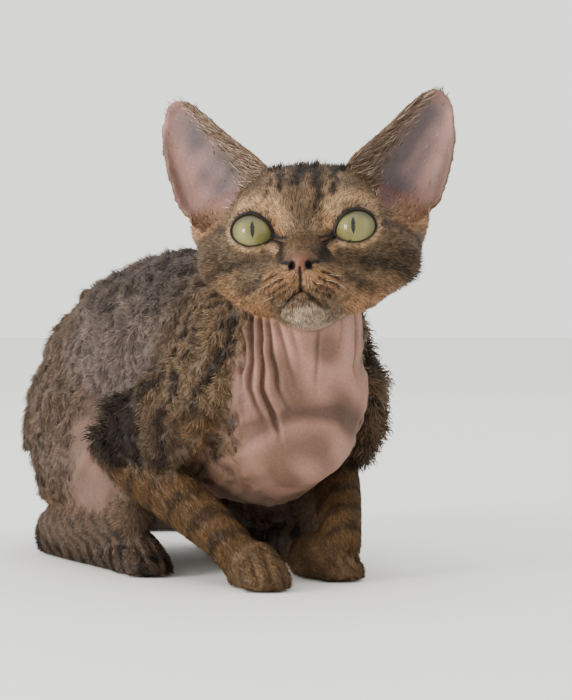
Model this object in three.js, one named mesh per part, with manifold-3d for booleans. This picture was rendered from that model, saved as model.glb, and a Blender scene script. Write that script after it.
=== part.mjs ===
// A crouching Devon rex cat, life size, in millimetres, +Z up, facing -Y with its right side at -X.
// It rests on the floor on all four feet, elbows and knees bent, and looks up over its right shoulder line.
// Every part of the body is a closed surface of its own, parted from its neighbours by a thin gap.
import * as THREE from "three";
import { mergeVertices } from "three/addons/utils/BufferGeometryUtils.js";
import Module from "manifold-3d";

const wasm = await Module();
wasm.setup();

// Driving dimensions.
const GAP = 0.3; // between parts that touch
const EYE_RADIUS = 10.4;
const EYE_SPACING = 41.2; // between the two pupils
const HEAD_PITCH = 10; // degrees that the face looks up
const HEAD_YAW = -32.5; // degrees that the head turns to its right
const HEAD_ROLL = -2.2; // degrees that the head leans
const EYES_AT = [-24, -75, 152]; // the point midway between the eyes
const EAR_LENGTH = 47.5; // from the edge of the skull to the tip
const EAR_HALF_WIDTH = 21.5; // at the edge of the skull
const EAR_SUNK = 13; // how far the root of the ear runs down inside the head
const EAR_WALL = 1.7;
const FLOOR_BLOCK = 400; // size of the block that trims what rests on the floor flat

const V = (p) => new THREE.Vector3(...p);
const radians = THREE.MathUtils.degToRad;

// A closed three.js geometry as a solid that can be cut and joined.
function solid(geometry) {
  const bare = new THREE.BufferGeometry();
  bare.setAttribute("position", geometry.getAttribute("position"));
  if (geometry.index) bare.setIndex(geometry.index);
  const merged = mergeVertices(bare, 1e-4);
  return new wasm.Manifold(
    new wasm.Mesh({
      numProp: 3,
      vertProperties: merged.attributes.position.array,
      triVerts: new Uint32Array(merged.index.array),
    }),
  );
}

// The same solid back as a three.js geometry.
function geometryOf(body) {
  const mesh = body.getMesh();
  const geometry = new THREE.BufferGeometry();
  geometry.setAttribute("position", new THREE.BufferAttribute(mesh.vertProperties, 3));
  geometry.setIndex(new THREE.BufferAttribute(mesh.triVerts, 1));
  return geometry;
}

// Cuts and joins can leave loose scraps, and a part keeps only its largest body.
function largest(body) {
  return body.decompose().sort((a, b) => b.volume() - a.volume())[0];
}

function less(body, ...cutters) {
  return cutters.reduce((rest, cutter) => rest.subtract(cutter), body);
}

// A smooth spine through stations of {at: [x, y, z], w: half width, h: half height}.
// Its section is an ellipse, with its width along `across`.
function spineOf(stations, across, grow = 0) {
  const line = new THREE.CatmullRomCurve3(stations.map((s) => V(s.at)), false, "centripetal");
  const last = stations.length - 1;
  const sizeAt = (key, t) => {
    const k = Math.min(last - 1, Math.floor(t * last));
    const f = t * last - k;
    const value = (i) => stations[Math.max(0, Math.min(last, i))][key];
    const [a, b, c, d] = [value(k - 1), value(k), value(k + 1), value(k + 2)];
    return b + 0.5 * f * (c - a + f * (2 * a - 5 * b + 4 * c - d + f * (3 * (b - c) + d - a)));
  };
  const sectionAt = (t, along = 0, share = 1) => {
    const tangent = line.getTangent(t);
    const centre = line.getPoint(t).addScaledVector(tangent, along);
    const side = V(across).addScaledVector(tangent, -V(across).dot(tangent)).normalize();
    const up = new THREE.Vector3().crossVectors(side, tangent).normalize();
    const w = (sizeAt("w", t) + grow) * share;
    const h = (sizeAt("h", t) + grow) * share;
    return { centre, tangent, side, up, w, h };
  };
  return { line, sizeAt, sectionAt };
}

// A closed body round such a spine, with a dome at both ends.
const DOME_STEPS = [0.97, 0.82, 0.5];
function loft(stations, { rings = 12, sides = 14, across = [1, 0, 0], dome = 0.8, grow = 0 } = {}) {
  const { line, sizeAt, sectionAt } = spineOf(stations, across, grow);
  const sections = [];
  const addSection = (...place) => sections.push(sectionAt(...place));
  const domeDepth = (t) => dome * Math.min(sizeAt("w", t), sizeAt("h", t)) + grow;
  for (const share of [...DOME_STEPS].reverse())
    addSection(0, -domeDepth(0) * Math.sqrt(1 - share * share), share);
  for (let i = 0; i <= rings; i++) addSection(i / rings, 0, 1);
  for (const share of DOME_STEPS)
    addSection(1, domeDepth(1) * Math.sqrt(1 - share * share), share);
  const tipOf = (t, sign) =>
    line.getPoint(t).addScaledVector(line.getTangent(t), sign * domeDepth(t));

  const points = [];
  for (const s of sections)
    for (let j = 0; j < sides; j++) {
      const a = (2 * Math.PI * j) / sides;
      points.push(
        s.centre.clone()
          .addScaledVector(s.side, s.w * Math.cos(a))
          .addScaledVector(s.up, s.h * Math.sin(a)),
      );
    }
  const first = points.length;
  points.push(tipOf(0, -1), tipOf(1, 1));
  const faces = [];
  for (let i = 0; i + 1 < sections.length; i++)
    for (let j = 0; j < sides; j++) {
      const [a, b] = [i * sides + j, i * sides + ((j + 1) % sides)];
      faces.push(a, a + sides, b, b, a + sides, b + sides);
    }
  const top = (sections.length - 1) * sides;
  for (let j = 0; j < sides; j++) {
    const next = (j + 1) % sides;
    faces.push(first, j, next, first + 1, top + next, top + j);
  }
  return turnedOut(points, faces);
}

// A closed mesh from points and triangles, its faces turned outwards.
function turnedOut(points, faces) {
  let volume = 0;
  for (let i = 0; i < faces.length; i += 3) {
    const [a, b, c] = [points[faces[i]], points[faces[i + 1]], points[faces[i + 2]]];
    volume += a.dot(new THREE.Vector3().crossVectors(b, c));
  }
  if (volume < 0)
    for (let i = 0; i < faces.length; i += 3)
      [faces[i + 1], faces[i + 2]] = [faces[i + 2], faces[i + 1]];
  const geometry = new THREE.BufferGeometry().setFromPoints(points);
  geometry.setIndex(faces);
  return solid(geometry);
}

// Distance to rounded forms, and the blend that lets flesh flow from one into the next.
const ball = (c, r) => (p) => {
  const q = [0, 1, 2].map((i) => (p[i] - c[i]) / r[i]);
  const k0 = Math.hypot(...q);
  const k1 = Math.hypot(...q.map((x, i) => x / r[i]));
  return (k0 * (k0 - 1)) / k1;
};
const bone = (a, b, ra, rb) => (p) => {
  const ab = b.map((x, i) => x - a[i]);
  const ap = p.map((x, i) => x - a[i]);
  const along = ab.reduce((s, x, i) => s + x * ap[i], 0) / ab.reduce((s, x) => s + x * x, 0);
  const t = Math.max(0, Math.min(1, along));
  return Math.hypot(...ap.map((x, i) => x - ab[i] * t)) - (ra + (rb - ra) * t);
};
function blended(forms) {
  return (p) =>
    forms.reduce((sum, { form, soft }) => {
      const d = form(p);
      const h = Math.max(soft - Math.abs(sum - d), 0) / soft;
      return Math.min(sum, d) - (h * h * soft) / 4;
    }, 1e3);
}
const both = (make) => [make(-1), make(1)];

// A sphere round `heart`, its pole along `pole`, drawn in like a skin until every vertex meets the field's zero.
// `crowd` over 1 gathers the rings near the pole.
const REACH = 110;
const STRIDE = 1; // between two looks along a ray
function wrapped(field, { heart, pole, sides, rings, crowd = 1, grow = 0 }) {
  const sphere = new THREE.SphereGeometry(1, sides, rings);
  const position = sphere.getAttribute("position");
  const turn = new THREE.Quaternion().setFromUnitVectors(V([0, 1, 0]), V(pole).normalize());
  for (let i = 0; i < position.count; i++) {
    const ray = new THREE.Vector3().fromBufferAttribute(position, i);
    const angle = Math.acos(THREE.MathUtils.clamp(ray.y, -1, 1));
    const newAngle = Math.PI * (angle / Math.PI) ** crowd;
    const round = Math.hypot(ray.x, ray.z);
    if (round > 1e-6 && angle < Math.PI - 1e-6) {
      ray.x *= Math.sin(newAngle) / round;
      ray.z *= Math.sin(newAngle) / round;
      ray.y = Math.cos(newAngle);
    }
    if (round <= 1e-6) ray.set(0, Math.sign(ray.y), 0);
    ray.applyQuaternion(turn);
    let [inside, outside] = [0, REACH];
    const at = (t) => field([heart[0] + ray.x * t, heart[1] + ray.y * t, heart[2] + ray.z * t]);
    for (let t = REACH; t > 0; t -= STRIDE)
      if (at(t) <= grow) {
        [inside, outside] = [t, t + STRIDE];
        break;
      }
    for (let n = 0; n < 14; n++) {
      const middle = (inside + outside) / 2;
      if (at(middle) > grow) outside = middle;
      else inside = middle;
    }
    position.setXYZ(i, heart[0] + ray.x * inside, heart[1] + ray.y * inside, heart[2] + ray.z * inside);
  }
  sphere.deleteAttribute("normal");
  sphere.deleteAttribute("uv");
  return solid(sphere);
}

// An ellipsoid as a plain solid.
function pebble(at, radii, sides = 14, rings = 10) {
  const sphere = new THREE.SphereGeometry(1, sides, rings);
  sphere.scale(...radii);
  sphere.translate(...at);
  sphere.deleteAttribute("normal");
  sphere.deleteAttribute("uv");
  return solid(sphere);
}

// A thin rod along a smooth line, used to press a groove into a surface.
function rod(points, radius, steps = 14, sides = 6) {
  const outline = new THREE.Shape();
  outline.absarc(0, 0, radius, 0, 2 * Math.PI);
  const path = new THREE.CatmullRomCurve3(points.map(V));
  const geometry = new THREE.ExtrudeGeometry(outline, {
    extrudePath: path,
    steps,
    curveSegments: sides,
    bevelEnabled: false,
  });
  geometry.deleteAttribute("normal");
  geometry.deleteAttribute("uv");
  return solid(geometry);
}

// What lies under the floor, to trim resting parts flat.
const underFloor = (() => {
  const block = new THREE.BoxGeometry(FLOOR_BLOCK * 2, FLOOR_BLOCK * 2, FLOOR_BLOCK);
  block.translate(0, 0, -FLOOR_BLOCK / 2);
  return solid(block);
})();

// The head, in its own frame: x to the cat's left, y back, z up, from the point midway between the eyes.
const headFrame = new THREE.Matrix4().compose(
  V(EYES_AT),
  new THREE.Quaternion().setFromEuler(
    new THREE.Euler(radians(-HEAD_PITCH), radians(HEAD_ROLL), radians(HEAD_YAW), "ZYX"),
  ),
  new THREE.Vector3(1, 1, 1),
);
const headForms = [
  { form: ball([0, 43, 3], [37, 39, 29]), soft: 1 }, // braincase
  { form: ball([0, 22, 11], [29, 21, 17]), soft: 12 }, // forehead
  ...both((s) => ({ form: ball([s * 31, 36, 3], [17, 18, 15]), soft: 10 })), // temples, under the ears
  ...both((s) => ({ form: ball([s * 19, 9, 9], [9.5, 9, 7]), soft: 8 })), // brows
  ...both((s) => ({ form: ball([s * 36, 42, 15], [17, 14, 14]), soft: 10 })), // roots of the ears
  ...both((s) => ({ form: ball([s * 19, 37, 23], [11, 10, 10.5]), soft: 8 })), // ridges beside the ears
  ...both((s) => ({ form: ball([s * 29.5, 22, -9], [16, 18, 13]), soft: 12 })), // cheekbones
  ...both((s) => ({ form: ball([s * 17, 24, -20], [15, 20, 12]), soft: 10 })), // jowls
  { form: bone([0, 8, -8], [0, -14, -15.5], 9.5, 7), soft: 7 }, // bridge of the nose
  { form: bone([0, 14, -18], [0, -7, -25], 19, 13.5), soft: 8 }, // muzzle
  ...both((s) => ({ form: ball([s * 8.6, -12.5, -25], [9, 9, 8]), soft: 4 })), // whisker pads
  { form: ball([0, -20, -18.5], [6.6, 4.6, 4.6]), soft: 3 }, // nose
  { form: bone([0, -4, -33], [0, 26, -23], 8.6, 15), soft: 7 }, // lower jaw
  { form: ball([0, -9.5, -35.6], [8.4, 7, 6]), soft: 4 }, // chin
  ...both((s) => ({ form: ball([s * EYE_SPACING / 2, 9.4, 0], [12.6, 12, 12]), soft: 4 })), // lids
];
const headField = blended(headForms);
const headGrid = { heart: [0, 20, -10], pole: [0, -1, -0.4], sides: 38, rings: 26, crowd: 1.25 };
const headWrap = (grow) => wrapped(headField, { ...headGrid, grow });

// An eye is a ball behind the lids, and it looks a little outwards.
const EYE_TURN = 8; // degrees outwards
const eyeCentre = (side) => [side * (EYE_SPACING / 2 + 0.6), EYE_RADIUS - 1, 0];
const eyeball = (side, grow = 0) => pebble(eyeCentre(side), Array(3).fill(EYE_RADIUS + grow), 14, 11);

// The opening between the lids: an almond that slants down towards the nose, pushed back into the head.
const LID_HALF_LENGTH = 9.8;
const LID_TOP = 7.6;
const LID_BOTTOM = 6.7;
const LID_SLANT = 13; // degrees
const LID_CUT_DEPTH = 12;
function lidOpening(side) {
  const almond = new THREE.Shape();
  almond.moveTo(-LID_HALF_LENGTH, 0);
  almond.bezierCurveTo(-LID_HALF_LENGTH * 0.75, LID_TOP * 1.28, LID_HALF_LENGTH * 0.6, LID_TOP * 1.4, LID_HALF_LENGTH, 0);
  almond.bezierCurveTo(LID_HALF_LENGTH * 0.7, -LID_BOTTOM * 1.3, -LID_HALF_LENGTH * 0.55, -LID_BOTTOM * 1.35, -LID_HALF_LENGTH, 0);
  const prism = new THREE.ExtrudeGeometry(almond, { depth: LID_CUT_DEPTH * 2, curveSegments: 9, bevelEnabled: false });
  prism.deleteAttribute("normal");
  prism.deleteAttribute("uv");
  prism.rotateZ(radians(side * LID_SLANT));
  prism.rotateX(Math.PI / 2);
  prism.translate(0, LID_CUT_DEPTH / 4, 0);
  prism.rotateZ(radians(side * EYE_TURN));
  prism.translate(...eyeCentre(side));
  return solid(prism);
}

// The ear is a cup between an outer and an inner skin, each a stack of half-round sections along its length.
// `out` runs across the opening, away from the skull, and `back` is the depth of the cup.
// Towards its root the opening runs further out in front, and there it lays the temple open down to the eye.
const EAR_ROOT = [34.5, 37, 24.5];
const EAR_UP = [0.5, 0.06, 0.864];
const EAR_FACE = -20; // degrees that the opening turns outwards
const EAR_DEPTH = 15;
const EAR_BOW = 2.4; // how far the middle of the ear bends outwards
const EAR_FLARE = 26;
const EAR_RINGS = 9;
const EAR_ARC = 7;
function earSkin(side, { inset = 0, forward = 0, flare = 0 }) {
  const up = V(EAR_UP).normalize();
  const out = V([0.865, 0, -0.5]).applyAxisAngle(up, radians(-EAR_FACE));
  const back = new THREE.Vector3().crossVectors(up, out).normalize();
  const points = [];
  const total = EAR_LENGTH + EAR_SUNK - inset;
  for (let i = 0; i <= EAR_RINGS; i++) {
    const along = total * Math.sin((Math.PI / 2) * (i / EAR_RINGS)) - EAR_SUNK;
    const v = THREE.MathUtils.clamp(along / (EAR_LENGTH - inset), 0, 1);
    const sunk = Math.max(0, -along / EAR_SUNK);
    const tip = Math.sqrt(1 - v ** 7);
    const half = Math.max(0.25, (EAR_HALF_WIDTH * (1 - 0.6 * v) - inset) * tip * (1 - 0.25 * sunk * sunk));
    const depth = Math.max(0.2, (EAR_DEPTH - inset) * (1 - 0.72 * v) * tip * (1 - 0.2 * sunk));
    const open = forward + flare * THREE.MathUtils.smoothstep(-along, -8, 4);
    const centre = V(EAR_ROOT)
      .addScaledVector(up, along)
      .addScaledVector(back, 0.03 * along)
      .addScaledVector(out, EAR_BOW * Math.sin(Math.PI * v));
    for (let j = 0; j <= EAR_ARC; j++) {
      const a = (Math.PI * j) / EAR_ARC;
      points.push(
        centre.clone()
          .addScaledVector(out, half * Math.cos(a))
          .addScaledVector(back, depth * Math.sin(a) ** 0.9),
      );
    }
    for (let j = 1; j < EAR_ARC; j++) {
      const a = (Math.PI * j) / EAR_ARC;
      points.push(
        centre.clone()
          .addScaledVector(out, -half * Math.cos(a))
          .addScaledVector(back, -(forward + (open - forward) * 0.5 * (1 - Math.cos(a))) * Math.sin(a)),
      );
    }
  }
  const around = 2 * EAR_ARC;
  const faces = [];
  for (let i = 0; i < EAR_RINGS; i++)
    for (let j = 0; j < around; j++) {
      const [a, b] = [i * around + j, i * around + ((j + 1) % around)];
      faces.push(a, a + around, b, b, a + around, b + around);
    }
  for (const ring of [0, EAR_RINGS])
    for (let j = 1; j + 1 < around; j++) {
      const base = ring * around;
      if (ring) faces.push(base, base + j + 1, base + j);
      else faces.push(base, base + j, base + j + 1);
    }
  if (side < 0) points.forEach((p) => (p.x = -p.x));
  return turnedOut(points, faces);
}
const EAR_MOUTH = 7; // how far the hollow runs out in front of the rim
const earHollow = (side) => earSkin(side, { inset: EAR_WALL, forward: EAR_MOUTH, flare: EAR_FLARE });

// The line of the mouth, the groove under the nose and the nostrils.
const mouthLine = (side) =>
  rod([[0, -21, -30.4], [side * 3.4, -20, -32.2], [side * 8, -15.5, -33.4], [side * 12, -8, -33.2], [side * 14.5, 0, -32]], 0.9);
const lipGroove = rod([[0, -24.8, -20.5], [0, -23.4, -25.5], [0, -21, -30.6]], 0.8, 6);
const nostril = (side) => pebble([side * 3.5, -23.6, -19.4], [1.7, 2.4, 1.2], 8, 6);

function headPart() {
  const cuts = [lipGroove];
  for (const side of [-1, 1])
    cuts.push(eyeball(side, GAP), lidOpening(side), earHollow(side), mouthLine(side), nostril(side));
  return largest(less(headWrap(0), ...cuts));
}
const grownHead = headWrap(GAP);
const earPart = (side) => largest(less(earSkin(side, {}), earHollow(side), grownHead));

// The trunk: one spine from the brisket over the arched back to the rump.
const trunkLine = [
  { at: [0, -29, 80], w: 33, h: 39 },
  { at: [0, -8, 83], w: 41, h: 52 },
  { at: [0, 25, 86], w: 45, h: 54 },
  { at: [0, 65, 88], w: 49, h: 58 },
  { at: [0, 105, 84], w: 51, h: 59 },
  { at: [0, 140, 76], w: 50, h: 56 },
  { at: [0, 170, 62], w: 42, h: 47 },
  { at: [0, 192, 48], w: 28, h: 32 },
];
const trunk = (grow) => loft(trunkLine, { rings: 15, sides: 20, grow, dome: 0.45 });
const CHEST_END = 38;
const BELLY_END = 118;

// A slab across the trunk, thin enough to part two lengths of it.
function slabAt(y) {
  const slab = new THREE.BoxGeometry(200, GAP, 300);
  slab.translate(0, y, 80);
  return solid(slab);
}

const neckLine = [
  { at: [-9, -36, 143], w: 28, h: 29 },
  { at: [-4, -29, 122], w: 30, h: 31 },
  { at: [0, -16, 104], w: 36, h: 35 },
  { at: [0, 4, 90], w: 38, h: 38 },
];
const neck = (grow) => loft(neckLine, { rings: 6, sides: 16, grow });

// The limbs, drawn for the cat's left side and mirrored where `side` is -1.
const mirrored = (side, stations) =>
  stations.map(({ at: [x, y, z], ...sizes }) => ({ at: [side * x, y, z], ...sizes }));
const ACROSS = [1, 0, 0];
const upperArmLine = [
  { at: [27, 10, 112], w: 11, h: 20 },
  { at: [34, -4, 92], w: 13, h: 26 },
  { at: [44, 12, 72], w: 14, h: 25 },
  { at: [51, 36, 61], w: 12, h: 19 },
  { at: [54, 47, 58], w: 10, h: 13 },
];
const forearmLine = [
  { at: [53, 45, 56], w: 11, h: 14 },
  { at: [46, 25, 45], w: 11.5, h: 15 },
  { at: [35, 0, 29], w: 10.5, h: 12.5 },
  { at: [26, -18, 15], w: 9.5, h: 10 },
];
const thighLine = [
  { at: [34, 148, 72], w: 22, h: 34 },
  { at: [41, 120, 58], w: 21, h: 38 },
  { at: [45, 85, 44], w: 18, h: 32 },
  { at: [47, 52, 34], w: 13, h: 21 },
];
const lowerLegLine = [
  { at: [47, 48, 28], w: 12, h: 15 },
  { at: [49, 85, 23], w: 12, h: 14 },
  { at: [47, 125, 17], w: 9, h: 11 },
  { at: [45, 145, 13], w: 7.5, h: 9 },
];
const hindFootLine = [
  { at: [45, 147, 10], w: 8, h: 9.5 },
  { at: [45, 115, 7], w: 8, h: 8 },
  { at: [44, 75, 7], w: 9, h: 8 },
  { at: [43, 52, 8], w: 11, h: 9 },
];
const limb = (side, line, grow, options) => loft(mirrored(side, line), { across: ACROSS, grow, ...options });
const upperArm = (side, grow) => limb(side, upperArmLine, grow, { rings: 7, sides: 12 });
const forearm = (side, grow) => limb(side, forearmLine, grow, { rings: 6, sides: 10 });
const thigh = (side, grow) => limb(side, thighLine, grow, { rings: 7, sides: 14 });
const lowerLeg = (side, grow) => limb(side, lowerLegLine, grow, { rings: 6, sides: 10 });

// A paw: a low pad with four toes in front, `turn` degrees round from straight ahead.
const TOE_SPREAD = [-7.6, -2.7, 2.7, 7.6];
const TOE_REACH = [-20, -24.5, -25, -20.5];
function paw(at, turn, long, grow) {
  const forms = [
    { form: ball([0, 2, 9], [11.5, 17, 10.5]), soft: 1 },
    { form: bone([0, 2, 8], [0, long, 9], 10, 8), soft: 5 },
    ...TOE_SPREAD.map((x, i) => ({
      form: bone([x * 0.8, -8, 8.5], [x, TOE_REACH[i] + 5, 5.4], 5.6, 4.7),
      soft: 2.4,
    })),
  ];
  const grid = { heart: [0, -2, 8], pole: [0, -1, 0], sides: 16, rings: 11, crowd: 1.15, grow };
  return wrapped(blended(forms), grid).rotate([0, 0, turn]).translate(at);
}
const forepawPlace = { right: [[-21, -26, 0], 8], left: [[22, -8, 0], -8] };
const WRIST = 12;
const HEEL = 26;
const forepaw = (side, grow) => {
  const [at, turn] = side < 0 ? forepawPlace.right : forepawPlace.left;
  return paw(at, -turn, WRIST, grow);
};
const hindFoot = (side, grow) =>
  paw([side * 43, 48, 0], side * 3, HEEL, grow).add(limb(side, hindFootLine, grow, { rings: 5, sides: 8 }));

// The tail leaves the rump, drops to the floor and curls forward along the cat's left side.
const tailLine = [
  { at: [2, 186, 44], w: 12, h: 12 },
  { at: [6, 212, 26], w: 10.5, h: 10.5 },
  { at: [24, 234, 11], w: 9.6, h: 9.6 },
  { at: [58, 226, 8.2], w: 8.8, h: 8.8 },
  { at: [80, 190, 7.6], w: 8.2, h: 8.2 },
  { at: [83, 140, 7], w: 7.6, h: 7.6 },
  { at: [78, 95, 6.4], w: 6.9, h: 6.9 },
  { at: [66, 60, 5.6], w: 5.6, h: 5.6 },
];
const tailSpan = (from, to, grow) =>
  loft(tailLine.slice(from, to), { rings: 6, sides: 8, across: [0, 0, 1], grow, dome: 0.7 });

// The curly coat lies in low waves: rounded clumps set close, crosswise to the body and sunk into it.
// `columns` runs along the spine from 0 to 1, and each column holds clumps at `turns` degrees round it.
const CLUMP_HALVES = [7.4, 17.5, 3.8]; // width, length and thickness
const CLUMP_SUNK = 1.3;
const CLUMP_TILT = 16; // degrees
const CLUMP_JITTER = 7; // degrees
const clumpShape = new THREE.SphereGeometry(1, 6, 4);
clumpShape.deleteAttribute("normal");
clumpShape.deleteAttribute("uv");

// Numbers between 0 and 1 that come out the same each time.
function seeded(seed) {
  let state = seed;
  return () => {
    state = (state * 16807) % 2147483647;
    return state / 2147483647;
  };
}

function clumpsOn(stations, { columns, turns, seed }) {
  const random = seeded(seed);
  const { sectionAt } = spineOf(stations, ACROSS);
  const clumps = [];
  columns.forEach((t, column) => {
    for (const turn of turns[column % turns.length]) {
      const { centre, tangent, side, up, w, h } = sectionAt(t);
      const a = radians(turn + CLUMP_JITTER * (random() - 0.5));
      const out = side.clone().multiplyScalar(Math.cos(a) / w).addScaledVector(up, Math.sin(a) / h).normalize();
      const round = new THREE.Vector3().crossVectors(tangent, out).normalize();
      const tilt = radians(CLUMP_TILT * (0.4 + random()) * Math.sign(Math.cos(a)));
      const long = round.multiplyScalar(Math.cos(tilt)).addScaledVector(tangent, Math.sin(tilt));
      const wide = new THREE.Vector3().crossVectors(long, out);
      const at = centre
        .addScaledVector(side, w * Math.cos(a))
        .addScaledVector(up, h * Math.sin(a))
        .addScaledVector(out, -CLUMP_SUNK);
      const size = 0.88 + 0.2 * random();
      const shaped = (grow) => {
        const halves = CLUMP_HALVES.map((x) => x * size + grow);
        const geometry = clumpShape.clone().scale(...halves);
        geometry.applyMatrix4(new THREE.Matrix4().makeBasis(wide, long, out).setPosition(at));
        return solid(geometry);
      };
      clumps.push({ body: shaped(0), room: shaped(GAP) });
    }
  });
  return clumps;
}

// A body joined with those clumps that keep clear of everything else.
const touches = (a, b) => !a.intersect(b).isEmpty();
function withClumps(body, clumps, others) {
  const kept = clumps.filter(({ room }) => !others.some((other) => touches(room, other)));
  return wasm.Manifold.union([body, ...kept.map((clump) => clump.body)]);
}

const flesh = {};
flesh.head = headPart();
const onHead = (body) => body.transform(headFrame.elements);
const worldHead = onHead(grownHead);
flesh.neck = largest(less(neck(0), worldHead, trunk(GAP), upperArm(-1, GAP), upperArm(1, GAP)));

const SPINE_COLUMNS = [0.199, 0.281, 0.375, 0.443, 0.511, 0.579, 0.665, 0.744, 0.83];
const SPINE_TURNS = [
  [-12, 30, 72, 108, 150, 192],
  [8, 50, 90, 130, 172],
];
const limbRoots = [-1, 1].flatMap((side) => [upperArm(side, GAP), thigh(side, GAP)]);
const trunkClumps = clumpsOn(trunkLine, { columns: SPINE_COLUMNS, turns: SPINE_TURNS, seed: 7 });
const trunkCoat = withClumps(trunk(0), trunkClumps, [worldHead, neck(GAP), tailSpan(0, 4, GAP), ...limbRoots]);
const trunkBody = less(trunkCoat, worldHead, slabAt(CHEST_END), slabAt(BELLY_END), underFloor);
const lengths = trunkBody.decompose().sort((a, b) => b.volume() - a.volume()).slice(0, 3);
[flesh.chest, flesh.belly, flesh.rump] = lengths.sort((a, b) => a.boundingBox().min[1] - b.boundingBox().min[1]);

for (const [word, side] of [["right", -1], ["left", 1]]) {
  const trunkCut = trunk(GAP);
  flesh["upper_arm_" + word] = largest(less(upperArm(side, 0), trunkCut, worldHead));
  flesh["forearm_" + word] = largest(less(forearm(side, 0), trunkCut, upperArm(side, GAP)));
  flesh["forepaw_" + word] = largest(less(forepaw(side, 0), forearm(side, GAP), trunkCut, underFloor));
  flesh["thigh_" + word] = largest(less(thigh(side, 0), trunkCut, upperArm(side, GAP), forearm(side, GAP), underFloor));
  flesh["lower_leg_" + word] = largest(
    less(lowerLeg(side, 0), trunkCut, thigh(side, GAP), upperArm(side, GAP), forearm(side, GAP), underFloor),
  );
  flesh["hind_foot_" + word] = largest(
    less(hindFoot(side, 0), trunkCut, thigh(side, GAP), lowerLeg(side, GAP), forearm(side, GAP), underFloor),
  );
}
flesh.tail_root = largest(less(tailSpan(0, 4, 0), trunk(GAP), underFloor));
flesh.tail_middle = largest(less(tailSpan(3, 6, 0), tailSpan(0, 4, GAP), thigh(1, GAP), underFloor));
flesh.tail_tip = largest(less(tailSpan(5, 8, 0), tailSpan(3, 6, GAP), thigh(1, GAP), underFloor));

// The thighs and shoulders carry the same waves on their outer sides.
const OUTER_COATS = {
  thigh: { line: thighLine, columns: [0.14, 0.36, 0.58, 0.8], turns: [[10], [-16, 38]], seed: 21 },
  upper_arm: { line: upperArmLine, columns: [0.28, 0.5, 0.72], turns: [[8]], seed: 33 },
};
for (const [part, { line, ...coat }] of Object.entries(OUTER_COATS))
  for (const [word, side] of [["right", -1], ["left", 1]]) {
    const name = part + "_" + word;
    const others = Object.keys(flesh).filter((key) => key !== name && key !== "head");
    const turns = coat.turns.map((row) => row.map((turn) => (side < 0 ? 180 - turn : turn)));
    const clumps = clumpsOn(mirrored(side, line), { ...coat, turns });
    const neighbours = [worldHead, underFloor, ...others.map((key) => flesh[key])];
    flesh[name] = largest(withClumps(flesh[name], clumps, neighbours));
  }

// Materials, by the part of the coat that the node carries.
const finish = (colour, roughness) => new THREE.MeshStandardMaterial({ color: colour, roughness, metalness: 0 });
const coat = finish(0x6b5544, 0.9);
const rufous = finish(0x7d5636, 0.9);
const bareSkin = finish(0xb98f80, 0.65);
const iris = finish(0xa9b276, 0.15);
const coatOf = (name) => (/^fore|^hind/.test(name) ? rufous : /chest|neck|ear/.test(name) ? bareSkin : coat);

const cat = new THREE.Group();
const FINENESS = 0.06; // how far a surface may move when its smallest faces are merged
const addPart = (name, body, parent, material) => {
  const mesh = new THREE.Mesh(geometryOf(body.simplify(FINENESS)), material);
  mesh.name = name;
  parent.add(mesh);
  return mesh;
};
const headGroup = new THREE.Group();
headFrame.decompose(headGroup.position, headGroup.quaternion, headGroup.scale);
cat.add(headGroup);
addPart("head", flesh.head, headGroup, coat);
for (const [word, side] of [["right", -1], ["left", 1]]) {
  addPart("ear_" + word, earPart(side), headGroup, bareSkin);
  addPart("eye_" + word, eyeball(side), headGroup, iris);
}
for (const [name, body] of Object.entries(flesh))
  if (name !== "head") addPart(name, body, cat, coatOf(name));

// The origin is on the floor under the middle of the whole cat.
const extent = new THREE.Box3().setFromObject(cat, true);
const middle = extent.getCenter(new THREE.Vector3());
cat.position.set(-middle.x, -middle.y, -extent.min.z);

export default cat;
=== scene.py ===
# %% [markdown]
# # A Devon rex cat, life size
#
# The model is a crouching cat with a short wavy coat, a bare chest and very large ears.
# A frame of plain solids gives the size of every part. Here they become one soft skin, with a modelled
# face, glossy eyes, and a coat of many thousands of small wavy tufts that carry the tabby markings.

# %% Load the frame
import math

import bmesh
import bpy
import numpy as np
from mathutils import Matrix, Vector
from mathutils.bvhtree import BVHTree


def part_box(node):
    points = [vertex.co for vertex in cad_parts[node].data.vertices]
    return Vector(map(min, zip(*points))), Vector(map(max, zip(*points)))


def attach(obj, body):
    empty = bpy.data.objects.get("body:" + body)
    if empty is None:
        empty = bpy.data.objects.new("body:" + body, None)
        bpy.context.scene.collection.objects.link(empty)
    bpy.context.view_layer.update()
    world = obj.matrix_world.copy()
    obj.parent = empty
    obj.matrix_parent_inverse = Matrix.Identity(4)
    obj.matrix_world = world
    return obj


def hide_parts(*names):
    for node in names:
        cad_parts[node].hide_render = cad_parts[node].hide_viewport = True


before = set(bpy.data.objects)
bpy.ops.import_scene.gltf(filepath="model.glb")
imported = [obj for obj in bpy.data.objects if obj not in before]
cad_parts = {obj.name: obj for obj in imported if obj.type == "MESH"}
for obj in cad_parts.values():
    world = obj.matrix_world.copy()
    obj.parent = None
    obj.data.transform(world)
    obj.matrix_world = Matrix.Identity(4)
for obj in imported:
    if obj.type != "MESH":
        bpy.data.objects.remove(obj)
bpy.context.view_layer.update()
bpy.ops.object.select_all(action="DESELECT")
print("nodes in the frame:", len(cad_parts))

# %% [markdown]
# ## Two sets of measures
#
# The head is turned and lifted, so its features are easiest to place in millimetres from the point
# midway between the eyes: x to the cat's left, y to the back of the head, z to the crown.
# The body has its own millimetres, with z = 0 on the floor and the chest facing -y.
# Both are found from the two eyes of the frame, so that they follow the frame if it moves.

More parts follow.
